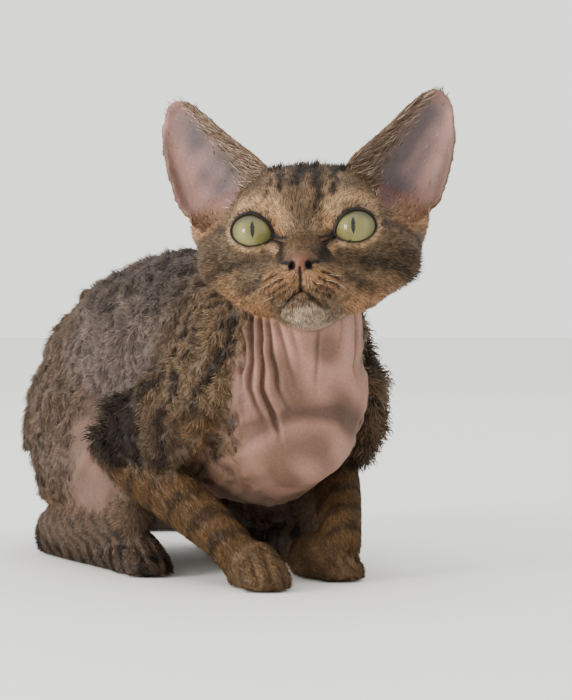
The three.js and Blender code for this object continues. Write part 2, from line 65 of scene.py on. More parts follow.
# %% Head measures and body measures
MM = 0.001
EYE_RADIUS = 10.4
EYE_SIDE = 21.2
EYE_DEPTH = 9.4
HEAD_IN_BODY = np.array((-24.0, -75.0, 152.0))
head_turn = (
    Matrix.Rotation(math.radians(-32.5), 3, "Z")
    @ Matrix.Rotation(math.radians(-2.2), 3, "Y")
    @ Matrix.Rotation(math.radians(-10), 3, "X")
)


def centre_of(node):
    low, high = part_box(node)
    return (low + high) / 2


between_eyes = (centre_of("eye_left") + centre_of("eye_right")) / 2
face_point = between_eyes - head_turn @ Vector((0, EYE_DEPTH * MM, 0))
FACE = np.array(face_point)
TURN = np.array(head_turn)


def to_head(points):
    return (points - FACE) @ TURN / MM


def from_head(points):
    return np.asarray(points, float) @ TURN.T * MM + FACE


def to_body(points):
    return (points - FACE) / MM + HEAD_IN_BODY


print("between the eyes:", [round(x, 4) for x in face_point])

# %% [markdown]
# ## Small tools
#
# Smoothing averages every vertex with its neighbours. One step in and one slightly longer step out
# takes away the facets and keeps the volume. The soft noise is a sum of a few slanted sine waves.


# %% Tools for arrays
def coordinates(mesh):
    values = np.empty(len(mesh.vertices) * 3)
    mesh.vertices.foreach_get("co", values)
    return values.reshape(-1, 3)


def set_coordinates(mesh, values):
    mesh.vertices.foreach_set("co", values.astype(np.float32).ravel())
    mesh.update()


def vertex_normals(mesh):
    values = np.empty(len(mesh.vertices) * 3)
    mesh.vertex_normals.foreach_get("vector", values)
    return values.reshape(-1, 3)


def edges_of(mesh):
    values = np.empty(len(mesh.edges) * 2, np.int64)
    mesh.edges.foreach_get("vertices", values)
    return values.reshape(-1, 2)


def averaged(values, edges):
    total = np.zeros_like(values)
    size = len(values)
    for column in range(values.shape[1]):
        total[:, column] += np.bincount(edges[:, 0], values[edges[:, 1], column], size)
        total[:, column] += np.bincount(edges[:, 1], values[edges[:, 0], column], size)
    return total / np.bincount(edges.ravel(), minlength=size)[:, None]


def smoothed(values, edges, rounds, weight=1.0, swell=-0.52):
    weight = np.broadcast_to(weight, len(values))[:, None]
    for _ in range(rounds):
        for step in (0.5, swell):
            if step:
                values = values + step * weight * (averaged(values, edges) - values)
    return values


def soft_noise(points, scale, seed, waves=14):
    draw = np.random.default_rng(seed)
    slopes = draw.normal(size=(waves, 3)) * 2 * math.pi / (scale * 1.7)
    starts = draw.uniform(0, 2 * math.pi, waves)
    return np.sin(points @ slopes.T + starts).sum(1) / math.sqrt(waves / 2)


def fade(value, start, end):
    """0 at start, 1 at end, smooth between."""
    share = np.clip((value - start) / (end - start), 0, 1)
    return share * share * (3 - 2 * share)


def bell(value, width):
    return np.exp(-((value / width) ** 2))


def to_line(points, line):
    """Distance from points to a line through several stops, in as many directions as the stops have."""
    stops = np.array(line, float)
    best = np.full(len(points), 1e9)
    for start, end in zip(stops[:-1], stops[1:]):
        along = end - start
        share = np.clip((points - start) @ along / (along @ along), 0, 1)
        best = np.minimum(best, np.linalg.norm(points - start - share[:, None] * along, axis=1))
    return best


def make_active(piece):
    bpy.ops.object.select_all(action="DESELECT")
    piece.select_set(True)
    bpy.context.view_layer.objects.active = piece


def turned_out(piece):
    """Turn all faces of a closed piece outwards."""
    make_active(piece)
    bpy.ops.object.mode_set(mode="EDIT")
    bpy.ops.mesh.select_all(action="SELECT")
    bpy.ops.mesh.normals_make_consistent(inside=False)
    bpy.ops.object.mode_set(mode="OBJECT")


def unit(vectors):
    return vectors / np.maximum(np.linalg.norm(vectors, axis=-1, keepdims=True), 1e-12)


# %% [markdown]
# ## One skin
#
# The frame's solids are parted by thin gaps. A copy of them all is swollen by a third of a millimetre,
# so that the gaps close, and a voxel remesh turns it into one closed skin. Sculpting by hand would
# start from the same kind of block-out. The face is then subdivided, because it carries the fine detail.

# %% Join the flesh
VOXEL = 0.0015
SWELL = 0.00035
node_names = sorted(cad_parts)
flesh_names = [name for name in node_names if not name.startswith("eye")]
block = bmesh.new()
face_node = []
for name in node_names:
    block.from_mesh(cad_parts[name].data)
    block.faces.ensure_lookup_table()
    face_node += [node_names.index(name)] * (len(block.faces) - len(face_node))
node_tree = BVHTree.FromBMesh(block)
bmesh.ops.remove_doubles(block, verts=block.verts, dist=1e-6)
block.normal_update()
for vertex in block.verts:
    vertex.co += vertex.normal * SWELL
skin_mesh = bpy.data.meshes.new("cat_skin")
block.to_mesh(skin_mesh)
block.free()
skin = bpy.data.objects.new("cat_skin", skin_mesh)
bpy.context.scene.collection.objects.link(skin)
make_active(skin)
remesh = skin.modifiers.new("one skin", "REMESH")
remesh.mode = "VOXEL"
remesh.voxel_size = VOXEL
bpy.ops.object.modifier_apply(modifier=remesh.name)
skin_mesh = skin.data
print("faces after the remesh:", len(skin_mesh.polygons))


# %% Which node each vertex comes from
def nearest_nodes(points):
    return np.array([face_node[node_tree.find_nearest(Vector(p))[2]] for p in points])


def part_mask(node_of, *words):
    wanted = [i for i, name in enumerate(node_names) if any(name.startswith(word) for word in words)]
    return np.isin(node_of, wanted).astype(float)


def soft_mask(mask, edges, rounds):
    return smoothed(mask[:, None], edges, rounds, swell=0)[:, 0]


# %% Smooth the facets away
FACE_ROUNDS = 5
EAR_ROUNDS = 8
BODY_ROUNDS = 55
points = coordinates(skin_mesh)
edges = edges_of(skin_mesh)
node_of = nearest_nodes(points)
head_share = soft_mask(part_mask(node_of, "head", "ear", "eye"), edges, 8)
ear_share = soft_mask(part_mask(node_of, "ear"), edges, 4)
paw_share = soft_mask(part_mask(node_of, "forepaw", "hind"), edges, 6)
points = smoothed(points, edges, FACE_ROUNDS, 1 - 0.6 * ear_share)
points = smoothed(points, edges, EAR_ROUNDS, 0.8 * ear_share)
points = smoothed(points, edges, BODY_ROUNDS, (1 - head_share) * (1 - 0.85 * paw_share))
set_coordinates(skin_mesh, points)

# %% Directions round the neck
NECK_TOP = (-4, -29, 122)
NECK_FOOT = (0, -8, 85)


def neck_angle(b):
    """Degrees round the neck, 0 straight ahead, negative on the cat's right."""
    share = np.clip((NECK_TOP[2] - b[:, 2]) / (NECK_TOP[2] - NECK_FOOT[2]), 0, 1)
    middle_x = NECK_TOP[0] + share * (NECK_FOOT[0] - NECK_TOP[0])
    middle_y = NECK_TOP[1] + share * (NECK_FOOT[1] - NECK_TOP[1])
    return np.degrees(np.arctan2(b[:, 0] - middle_x, middle_y - b[:, 1]))


# %% Finer faces where the detail is
FACE_BACK = 24
EYE_FINE = 15.5
MUZZLE_FINE = (19, 4, -11)


def subdivide_where(choose):
    centres = np.empty(len(skin_mesh.polygons) * 3)
    skin_mesh.polygons.foreach_get("center", centres)
    chosen = choose(centres.reshape(-1, 3))
    skin_mesh.vertices.foreach_set("select", np.zeros(len(skin_mesh.vertices), bool))
    skin_mesh.edges.foreach_set("select", np.zeros(len(skin_mesh.edges), bool))
    skin_mesh.polygons.foreach_set("select", chosen)
    bpy.ops.object.mode_set(mode="EDIT")
    bpy.ops.mesh.select_mode(type="FACE")
    bpy.ops.mesh.subdivide(number_cuts=1)
    bpy.ops.object.mode_set(mode="OBJECT")


def on_face_or_throat(centres):
    q = to_head(centres)
    b = to_body(centres)
    face = (q[:, 1] < FACE_BACK) & (q[:, 2] > -50) & (np.abs(q[:, 0]) < 50) & (q[:, 2] < 40)
    throat = (np.abs(neck_angle(b)) < 75) & (b[:, 2] > 40) & (b[:, 2] < 128) & (b[:, 1] < -8)
    return face | throat


def on_features(centres):
    q = to_head(centres)
    side, back, low = MUZZLE_FINE
    near_eye = np.hypot(np.abs(q[:, 0]) - EYE_SIDE, q[:, 2]) < EYE_FINE
    muzzle = (np.abs(q[:, 0]) < side) & (q[:, 1] < back) & (q[:, 2] < low) & (q[:, 2] > -46)
    return (near_eye & (q[:, 1] < 10)) | muzzle


make_active(skin)
subdivide_where(on_face_or_throat)
subdivide_where(on_features)
points = coordinates(skin_mesh)
edges = edges_of(skin_mesh)
fine_skin = on_face_or_throat(points).astype(float)
points = smoothed(points, edges, 6, soft_mask(fine_skin, edges, 3))
set_coordinates(skin_mesh, points)
node_of = nearest_nodes(points)
print("vertices of the skin:", len(points))

# %% [markdown]
# ## Where the coat is thick, thin or missing
#
# The chest, the throat and the front of the thighs are nearly bare. The neck is measured by the
# direction round its axis, so that the bare bib has the same edges high and low.

# %% Masks on the skin
SOFT = 10
EAR_SOFT = 3
q = to_head(points)
b = to_body(points)
side = np.abs(q[:, 0])


def soft_part(*words, rounds=SOFT):
    """1 on the parts whose names start with these words, fading out at their edges."""
    return soft_mask(part_mask(node_of, *words), edges, rounds)


is_head = soft_part("head", "eye")
is_ear = soft_part("ear", rounds=EAR_SOFT)
is_neck = soft_part("neck")
is_chest = soft_part("chest")
is_belly = soft_part("belly")
is_rump = soft_part("rump")
is_upper_arm = soft_part("upper_arm")
is_forearm = soft_part("forearm")
is_forepaw = soft_part("forepaw")
is_thigh = soft_part("thigh")
is_lower_leg = soft_part("lower_leg")
is_hind_foot = soft_part("hind_foot")
is_tail = soft_part("tail")
is_limb = is_forearm + is_forepaw + is_lower_leg + is_hind_foot
print("part of the skin's vertices on the head:", round(float(is_head.mean()), 3))

# %% Bare skin
EDGE_WANDER = 3.5  # degrees by which the edge of the bib wanders
round_neck = neck_angle(b)
edge_noise = EDGE_WANDER * soft_noise(b, 8, 3)
bib = fade(round_neck + edge_noise, -76, -40) * fade(-round_neck + edge_noise, -68, -42)
bib *= fade(-b[:, 1], -2, 14) * np.clip(is_neck + is_chest, 0, 1)
throat = is_head * fade(-q[:, 2], 30, 38) * fade(q[:, 1], 10, 22)
normals = vertex_normals(skin_mesh)
thigh_front = is_thigh * fade(-b[:, 1] + edge_noise, -100, -64) * fade(b[:, 2], 12, 34)
belly_bare = (is_belly + is_chest) * fade(-normals[:, 2], 0.3, 0.8)
bare = np.clip(bib + throat + 0.75 * thigh_front + 0.6 * belly_bare, 0, 1)
print("bare part of the skin's vertices:", round(float(bare.mean()), 3))

# %% [markdown]
# ## The cups of the ears
#
# Each ear is a deep open cup, bare inside and furred outside. The frame already has the hollow, so
# here its inner wall is only found: it is the skin near the ear's axis that faces towards that axis.
# A mask follows the form more closely than a painted outline would.

# %% The inside of the ears
EAR_ROOT = (34.5, 37, 24.5)
EAR_LONG = 47.5
EAR_HALF_WIDTH = 21.5
EAR_DEEP = 15
ear_up = unit(np.array((0.5, 0.06, 0.864)))
ear_out = np.array(Matrix.Rotation(math.radians(20), 3, Vector(ear_up)) @ Vector((0.865, 0, -0.5)))
ear_back = unit(np.cross(ear_up, ear_out))
mirror = np.stack((np.sign(q[:, 0]), np.ones(len(q)), np.ones(len(q))), 1)
from_root = q * mirror - EAR_ROOT
ear_along, ear_across, ear_deep = (from_root @ axis for axis in (ear_up, ear_out, ear_back))
to_tip = np.clip(ear_along / EAR_LONG, 0, 1)
ear_half = EAR_HALF_WIDTH * (1 - 0.6 * to_tip)
cup_depth = EAR_DEEP * (1 - 0.72 * to_tip)
outward = np.stack((ear_across / ear_half**2, np.maximum(ear_deep, 0) / cup_depth**2), 1)
mirrored_normals = (normals @ TURN) * mirror
across_up = np.stack((mirrored_normals @ ear_out, mirrored_normals @ ear_back), 1)
faces_in = -(across_up * unit(outward)).sum(1)
faces_in = np.maximum(faces_in, -(mirrored_normals @ ear_back) * (ear_deep > 2))
in_section = np.hypot(ear_across / ear_half, np.maximum(ear_deep, 0) / cup_depth)
ear_inside = fade(faces_in, 0.0, 0.3) * fade(-in_section, -1.2, -1.08) * fade(ear_along, -16, -12)
in_front = fade(-ear_deep, 0, 4)
ear_inside *= 1 - in_front * (1 - fade(ear_across, -9, -4) * fade(ear_deep, -22, -16))
ear_inside = fade(soft_mask(ear_inside * fade(is_ear + is_head, 0.1, 0.5), edges, 7), 0.25, 0.6)
ear_side = ear_across / ear_half
ear_low = fade(-ear_along, -10, 6)
ear_lobe = ear_inside * fade(ear_side, 0.2, 0.7) * fade(-ear_along, -7, 4)
ear_inside = ear_inside - 0.7 * ear_lobe
inner_fur = ear_inside * fade(-ear_side, -0.25 * ear_low, 0.55 - 0.3 * ear_low)

# %% Give the ears back their width
GROW_OUT = 0.13  # parts of the distance from the ear's axis, lost to the smoothing
GROW_IN = 0.05
GROW_LONG = 0.035
grow = np.where(ear_across > 0, GROW_OUT, GROW_IN) * ear_across
grow_ear = (grow[:, None] * ear_out + GROW_LONG * np.maximum(ear_along, 0)[:, None] * ear_up) * mirror
ear_reach = np.clip(is_ear, 0, 1) * fade(ear_along, -10, 8)
points = points + (grow_ear * ear_reach[:, None]) @ TURN.T * MM
print("part of the skin inside the ears:", round(float(ear_inside.mean()), 3))

# %% [markdown]
# ## From the outline to the skin
#
# The frame gives the outline at the tips of the coat, so the skin lies deeper by the coat's depth.
# On the flanks it also carries the low waves that the curly coat of this breed lies in.

# %% Coat depth and waves
COAT_DEPTH = 1.5
WAVE_LENGTH = 12.5
WAVE_HEIGHT = 0.85
depth = SWELL / MM + COAT_DEPTH * (1 - bare) * (1 - is_ear) * (1 - 0.45 * is_head) * (1 - 0.5 * is_limb)
along_lie = b[:, 1] * 0.8 - b[:, 2] * 0.45
wave_place = along_lie + 5.5 * soft_noise(b, 34, 11) + 2 * soft_noise(b, 11, 12)
wave_turn = 2 * math.pi * wave_place / WAVE_LENGTH
wave = np.sin(wave_turn)
wavy = (is_belly + is_rump + is_upper_arm + is_thigh + is_chest + is_neck) * (1 - bare)
crown = is_head * fade(q[:, 2], 24, 34) * fade(-is_ear, -0.5, -0.1)
relief = WAVE_HEIGHT * wavy * (wave + 0.5 * soft_noise(b, 7, 13)) + 0.8 * crown * soft_noise(b, 6, 14)
points = points + normals * ((relief - depth) * MM)[:, None]
print("the skin lies up to", round(float(depth.max()), 2), "mm inside the outline")

# %% [markdown]
# ## Folds of the bare neck
#
# The loose skin of the throat hangs in long folds. Each is a groove with a raised lip along both sides,
# drawn from an angle and height under the jaw to another on the chest.

# %% Neck folds
FOLDS = [  # from (degrees, height) to (degrees, height), depth in mm
    ((-72, 118), (-46, 78), 1.4),
    ((-62, 118), (-36, 70), 1.9),
    ((-53, 117), (-24, 60), 2.1),
    ((-46, 116), (-20, 74), 1.5),
    ((-38, 115), (-14, 84), 0.9),
    ((-29, 114), (-12, 92), 0.6),
    ((-8, 114), (-1, 80), 0.7),
    ((12, 114), (13, 96), 0.5),
    ((32, 116), (34, 84), 0.9),
    ((46, 116), (49, 90), 0.8),
]
FOLD_HALF = 1.5
LIP_AWAY = 3.4
LIP_HALF = 2.0
LIP_SHARE = 0.35
COLLAR = [(-52, 66), (-18, 74), (20, 74), (48, 66)]
COLLAR_DEEP = 1.6
BREAST_HIGH = 1.2
FOLD_SHADE_AT = 1.1  # depth in mm at which the painted shade of a fold is full
fold_place = np.stack((round_neck + 0.5 * soft_noise(b, 20, 9), b[:, 2]), 1)
fold_depth = np.zeros(len(points))
for start, end, deep in FOLDS:
    away = to_line(fold_place, [start, end])
    runs_out = fade(b[:, 2], end[1] - 3, end[1] + 18)
    fold_depth += deep * runs_out * (bell(away, FOLD_HALF) - LIP_SHARE * bell(away - LIP_AWAY, LIP_HALF))
fold_skin = np.clip(is_neck + is_chest, 0, 1) * fade(-b[:, 1], -10, 4)
breast = bell(round_neck + 8, 26) * bell(b[:, 2] - 62, 13) * is_chest
collar = bell(to_line(fold_place, COLLAR), 5.5) * fade(-b[:, 1], 0, 10)
fold_depth += COLLAR_DEEP * collar - BREAST_HIGH * breast
points -= normals * (fold_depth * fold_skin * MM)[:, None]
# how deep each vertex lies in a fold, for the painted shade of the folds
fold_shade = np.clip(fold_depth / FOLD_SHADE_AT, 0, 1) * fold_skin
print("folds:", len(FOLDS), "deepest in mm:", round(float((fold_depth * fold_skin).max()), 2))

# %% [markdown]
# ## Toes
#
# Fur hides the claws and most of each toe, so that only the grooves between the toes show. They are
# pressed into the top of the paw, along the way that the paw itself points.

# %% Toes
TOE_GROOVES = (-0.52, 0.0, 0.52)  # places across the paw, in halves of its width
TOE_DEEP = 1.5
for paw in ("forepaw_right", "forepaw_left", "hind_foot_right", "hind_foot_left"):
    own = np.flatnonzero(part_mask(node_of, paw) > 0)
    flat = b[own, :2] - b[own, :2].mean(0)
    toes_ahead = np.linalg.svd(flat, full_matrices=False)[2][0]
    toes_ahead = toes_ahead * -np.sign(toes_ahead[1])
    ahead, across = flat @ toes_ahead, flat @ np.array((-toes_ahead[1], toes_ahead[0]))
    half = np.percentile(np.abs(across), 95)
    tip = np.percentile(ahead, 99)
    groove = sum(bell(across - share * half, 1.15) for share in TOE_GROOVES)
    groove = groove * fade(ahead, tip - 20, tip - 9) * fade(normals[own, 2], -0.5, 0.1)
    points[own] -= normals[own] * (TOE_DEEP * groove * MM)[:, None]
    print(paw, "half width in mm:", round(float(half), 1))

# %% [markdown]
# ## Weight on the floor
#
# The coat's depth and the smoothing leave the lowest skin a little above the floor, so light would
# show under the feet and the tail. The lowest millimetres are pressed down flat, as flesh is that
# carries weight, and the change fades out higher up.

# %% Set the feet and the tail down
SOLE_LIFT = 2.4  # mm above the floor, below which the skin is pressed flat
SOLE_HEIGHT = 0.15
SOLE_SOFT = 2.0
PRESS_FULL = 5  # mm above the floor up to which the press is full, and where it ends
PRESS_TOP = 14
height = points[:, 2] / MM
for word in ("forepaw", "hind_foot", "tail_root", "tail_middle", "tail_tip"):
    print("lowest skin of", word, round(float(height[part_mask(node_of, word) > 0].min()), 2), "mm")
over = np.clip((height - SOLE_LIFT) * SOLE_SOFT, -30, 30)
pressed = SOLE_HEIGHT + np.log1p(np.exp(over)) / SOLE_SOFT
points[:, 2] += (pressed - height) * fade(-height, -PRESS_TOP, -PRESS_FULL) * MM
print("lowest skin once pressed:", round(float(points[:, 2].min() / MM), 2), "mm")

# %% [markdown]
# ## Eyelids
#
# The lids are slid over the eyeball itself. Each vertex near an eye gets a place on the ball's surface
# and its distance from the almond-shaped opening. Inside the opening it sinks behind the ball, and
# outside it lies just in front, so that the lid has a real edge.

# %% Lids
LID_LONG = (10.8, 9.3)  # to the inner and to the outer corner
LID_TOP = 7.7
LID_BOTTOM = 6.8
LID_POINT = (1.5, 1.95)  # how pointed the inner and how round the outer corner is
LID_SLANT = math.radians(15)
LIDS_OUT = math.radians(4.5)  # the opening is turned a little outwards
GAZE_OUT = math.radians(-3)  # and the gaze a little inwards
LID_THICK = 0.55
LID_REACH = 3.2
LID_FAR = 8  # mm outside the opening past which nothing is moved
LID_SNAP = 0.3  # vertices this near to the opening's edge are put on it
INNER_SUNK = 1.4


def eye_axes(which, turn=LIDS_OUT):
    across = np.array((which * math.cos(turn), math.sin(turn), 0))
    forward = np.array((which * math.sin(turn), -math.cos(turn), 0))
    return across, forward, np.array((0, 0, 1.0))


def eye_centre(which):
    return np.array((which * EYE_SIDE, EYE_DEPTH, 0.0))


def lid_edge(angle):
    """Distance from the middle of the opening to its edge, by the direction."""
    half = np.where(np.sin(angle) > 0, LID_TOP, LID_BOTTOM)
    long, point = (np.where(np.cos(angle) < 0, *pair) for pair in (LID_LONG, LID_POINT))
    level = np.abs(np.cos(angle)) / long
    upright = np.abs(np.sin(angle)) / half
    return (level**point + upright**point) ** (-1 / point)


def on_eye(q, which):
    """Distance from the eye's centre, place on its surface, and distance outside the opening."""
    across, forward, up = eye_axes(which)
    d = q - eye_centre(which)
    far = np.linalg.norm(d, axis=1)
    level = np.arctan2(d @ across, d @ forward) * EYE_RADIUS
    height = np.arcsin(np.clip(d @ up / far, -1, 1)) * EYE_RADIUS
    u = level * math.cos(LID_SLANT) + height * math.sin(LID_SLANT)
    v = height * math.cos(LID_SLANT) - level * math.sin(LID_SLANT)
    outside = np.hypot(u, v) - lid_edge(np.arctan2(v, u))
    return far, u, v, outside, d @ forward > 0


def eye_direction(u, v, which):
    """The direction from the eye's centre through a place on its surface."""
    across, forward, up = eye_axes(which)
    level = (u * math.cos(LID_SLANT) - v * math.sin(LID_SLANT)) / EYE_RADIUS
    height = (u * math.sin(LID_SLANT) + v * math.cos(LID_SLANT)) / EYE_RADIUS
    sideways = (np.sin(level) * np.cos(height))[:, None] * across
    ahead = (np.cos(level) * np.cos(height))[:, None] * forward
    return sideways + ahead + np.sin(height)[:, None] * up


q = to_head(points)
lid_outside = np.full(len(q), 50.0)
lid_upper = np.zeros(len(q))
for which in (-1, 1):
    far, u, v, outside, ahead = on_eye(q, which)
    near = ahead & (far < EYE_RADIUS + 9)
    turned = np.arctan2(v, u)
    snap = near & (np.abs(outside) < LID_SNAP)
    u[snap] = (lid_edge(turned) * np.cos(turned))[snap]
    v[snap] = (lid_edge(turned) * np.sin(turned))[snap]
    outside[snap] = 0
    crease = np.where(v > 0, 0.7 * bell(outside - 3.1, 0.7) - 0.35 * bell(outside - 4.6, 1.0), 0)
    lid = EYE_RADIUS + LID_THICK + 0.16 * outside - crease
    pull = bell(np.maximum(outside, 0), LID_REACH) * fade(-far, -EYE_RADIUS - 8.5, -EYE_RADIUS - 3)
    new_far = np.where(outside < 0, EYE_RADIUS - INNER_SUNK, far * (1 - pull) + lid * pull)
    moved = eye_centre(which) + eye_direction(u, v, which) * new_far[:, None]
    reached = near & (outside < LID_FAR)
    q[reached] = moved[reached]
    lid_outside = np.where(near, np.minimum(lid_outside, outside), lid_outside)
    lid_upper = np.where(reached, v, lid_upper)
    print("vertices drawn over the eye:", int(reached.sum()))

# %% [markdown]
# ## Nose and mouth
#
# The nose leather is shaped with two dents, a slit at the side of each, and the groove that
# runs down to the lip. The line of the mouth is pressed in along a few stops.

# %% Nose and mouth
NOSTRIL = (3.5, -23.4, -19.6)
NOSTRIL_SLIT = [(3.0, -23.6, -20.7), (4.3, -22.6, -19.1), (6.1, -20.6, -18.0), (7.8, -18.2, -17.2)]
MOUTH = [(0, -29.2), (2.4, -30.4), (5.0, -32.6), (7.6, -35.0), (10.5, -36.4), (13.5, -36.4)]
GROOVE = [(0, -21.0), (0, -29.8)]
set_coordinates(skin_mesh, from_head(q))
head_normals = vertex_normals(skin_mesh) @ TURN
side_q = q.copy()
side_q[:, 0] = np.abs(q[:, 0])
front = fade(-q[:, 1], -4, 4)
push = np.zeros_like(q)
dent = bell(np.linalg.norm((side_q - NOSTRIL) / (1.0, 1.8, 1.2), axis=1), 1.5)
push[:, 1] += 3.2 * dent
slit = bell(to_line(side_q, NOSTRIL_SLIT), 0.85)
mouth_away = to_line(side_q[:, [0, 2]], MOUTH)
groove_away = to_line(side_q[:, [0, 2]], GROOVE)
lips = 0.6 * bell(mouth_away - 1.9, 1.1) * front
mouth_cut = 0.9 * bell(mouth_away, 0.75) * front * (0.3 + 0.7 * fade(-side_q[:, 0], -12, -6))
groove_cut = 1.0 * bell(groove_away, 0.6) * front
pads = 1.3 * bell(to_line(side_q[:, [0, 2]], [(5, -27), (10, -29)]), 4.2) * front
push += head_normals * (lips + pads - mouth_cut - groove_cut - 1.1 * slit)[:, None]
q = q + push * (1 - is_ear)[:, None]
points = from_head(q)
set_coordinates(skin_mesh, points)
print("deepest dent of the nose and mouth in mm:", round(float(np.linalg.norm(push, axis=1).max()), 2))

# %% [markdown]
# ## Colours
#
# The markings are written down as places, not painted. Each is a soft patch or a stripe along a few
# stops, laid over the last one. A few layers are painted shade, which is said where they are laid.
# Skin and coat read the same list, so they always agree.


# %% Paint box
def paint(red, green, blue):
    """A colour as eyes see it, made linear for light."""
    seen = np.array((red, green, blue)) / 255
    return np.where(seen <= 0.04045, seen / 12.92, ((seen + 0.055) / 1.055) ** 2.4)


CHARCOAL = paint(70, 60, 55)
TAUPE = paint(112, 96, 88)
WARM_BROWN = paint(122, 97, 72)
STRIPE = paint(44, 35, 29)
RUFOUS = paint(108, 80, 52)
BUFF = paint(174, 140, 104)
TICKED = paint(98, 79, 60)
APRICOT = paint(168, 122, 84)
CHIN_WHITE = paint(186, 166, 142)
SKIN_PINK = paint(166, 123, 108)
SKIN_BROWN = paint(116, 86, 72)
EAR_PINK = paint(150, 117, 112)
EAR_GREY_SHADE = paint(86, 76, 77)
EAR_FLUSH = paint(140, 92, 86)
EAR_LOBE = paint(150, 112, 84)
LEATHER = paint(112, 73, 57)
LEATHER_DARK = paint(40, 28, 26)


def lay(colours, colour, share):
    share = np.clip(share, 0, 1)[:, None]
    return colours * (1 - share) + colour * share


# %% Body markings, with painted shade on the bare skin
def body_colours(b, angle):
    fine = soft_noise(b, 6, 21)
    broad = soft_noise(b, 26, 22)
    colours = np.tile(TAUPE, (len(b), 1))
    colours = lay(colours, CHARCOAL, 0.8 * fade(b[:, 2] + 5 * broad, 104, 128) * fade(b[:, 1], -40, 10))
    colours = lay(colours, TICKED, 0.6 * is_rump + 0.6 * is_thigh)
    shoulder = np.clip(is_upper_arm + is_neck + is_chest, 0, 1) * fade(-b[:, 1], -42, -8)
    colours = lay(colours, 0.45 * WARM_BROWN + 0.55 * TICKED, shoulder)
    stripes = 2 * math.pi * (b[:, 1] + 0.22 * b[:, 2] + 2.2 * broad + fine) / 15
    colours = lay(colours, STRIPE, 0.92 * shoulder * fade(np.cos(stripes), 0.12, 0.8))
    ripple = 2 * math.pi * (b[:, 1] - 0.35 * b[:, 2] + 4 * broad + 1.5 * fine) / 11
    flank = np.clip(is_belly + is_rump + is_thigh, 0, 1)
    colours = lay(colours, CHARCOAL, 0.45 * flank * fade(np.cos(ripple), 0.2, 1.0))
    elbow = is_upper_arm * fade(b[:, 1] + 4 * fine, 5, 25) + 0.6 * is_upper_arm * fade(-b[:, 2], -84, -66)
    colours = lay(colours, STRIPE, 0.9 * elbow)
    arm_front = is_upper_arm * fade(-b[:, 1], 2, 20) * fade(-b[:, 2], -80, -66)
    colours = lay(colours, RUFOUS, is_forearm + is_forepaw + 0.8 * arm_front)
    bars = fade(np.cos(2 * math.pi * (b[:, 1] - 0.3 * b[:, 2] + fine) / 13), 0.0, 1.0)
    arm_bars = fade(np.cos(2 * math.pi * (0.75 * b[:, 1] + 0.65 * b[:, 2] + fine) / 12), 0.0, 1.0)
    colours = lay(colours, STRIPE, 0.7 * is_forearm * arm_bars)
    colours = lay(colours, WARM_BROWN, 0.6 * is_forepaw)
    colours = lay(colours, STRIPE, 0.35 * is_forepaw * bars)
    low = fade(-b[:, 2], -44, -20)
    colours = lay(colours, RUFOUS, 0.6 * is_thigh * low + 0.55 * is_lower_leg + 0.4 * is_hind_foot)
    colours = lay(colours, STRIPE, 0.7 * (is_lower_leg + is_hind_foot) * bars + 0.35 * is_hind_foot)
    rings = fade(np.cos(2 * math.pi * (b[:, 1] + b[:, 0]) / 22), 0.1, 0.8)
    colours = lay(colours, STRIPE, is_tail * (0.35 + 0.5 * rings))
    left_edge = is_upper_arm * fade(b[:, 0], 20, 34) * fade(-b[:, 1], -20, 0)
    colours = lay(colours, STRIPE, 0.5 * left_edge)
    brown_share = np.clip(0.45 + 0.4 * broad + 0.5 * is_thigh, 0, 1)
    bib_skin = SKIN_PINK + (SKIN_BROWN - SKIN_PINK) * brown_share[:, None]
    colours = lay(colours, bib_skin, 0.94 * bare)
    colours = lay(colours, SKIN_BROWN * 0.75, 0.6 * is_thigh * bare)
    # painted shade in the grooves of the neck folds
    colours = lay(colours, SKIN_BROWN * 0.35, 0.8 * bare * fold_shade)
    # painted shade: the bare skin is darker towards the sides of the neck, where it turns from the light,
    # and lighter down its middle
    return lay(colours, SKIN_BROWN * 0.7, 0.45 * bare * fade(np.abs(angle + 6), 22, 56))


# %% Face markings, with painted shade on the far cheek and in the ear notches
FOREHEAD = [  # x to the cat's left and height of each dark streak, and its half width
    ([(-3.5, 20), (-1.5, 25), (-3, 31), (0, 44)], 2.9),
    ([(5.5, 18), (5.5, 24), (3, 31), (4, 44)], 2.7),
    ([(-9.5, 17), (-8.5, 21), (-10.5, 26), (-8, 29)], 1.5),
    ([(-14.5, 16), (-13.5, 21), (-14, 25)], 1.2),
    ([(12.5, 15), (13.5, 20), (11.5, 25), (14, 33)], 1.9),
    ([(-12, 31), (-17, 35), (-22, 38)], 3.4),
    ([(12, 31), (18, 36), (26, 40)], 3.4),
    ([(7, 14), (5, 8), (6.5, 2)], 1.9),
    ([(2, 27), (-6, 31), (-13, 31)], 1.6),
    ([(27, 22), (30, 30), (34, 40)], 1.8),
]
CHEEK_LINES = [
    [(31, 1.5), (36, 3), (43, 1), (50, -4)],
    [(23, -13), (30, -14), (38, -16), (47, -22)],
    [(17, -20), (24, -23), (32, -26)],
]
TEAR = [(11.5, -2.5), (9.5, -7), (8.2, -12), (7.6, -16)]
WHISKER_ROWS = [((8.6, -22.2), 4), ((7.2, -24.7), 5), ((5.6, -27.2), 6), ((6.2, -29.6), 4)]
SPOT_STEP = (2.4, -1.05)


def whisker_spots():
    for (x, z), count in WHISKER_ROWS:
        for i in range(count):
            yield x + SPOT_STEP[0] * i, z + SPOT_STEP[1] * i + 0.09 * i * i


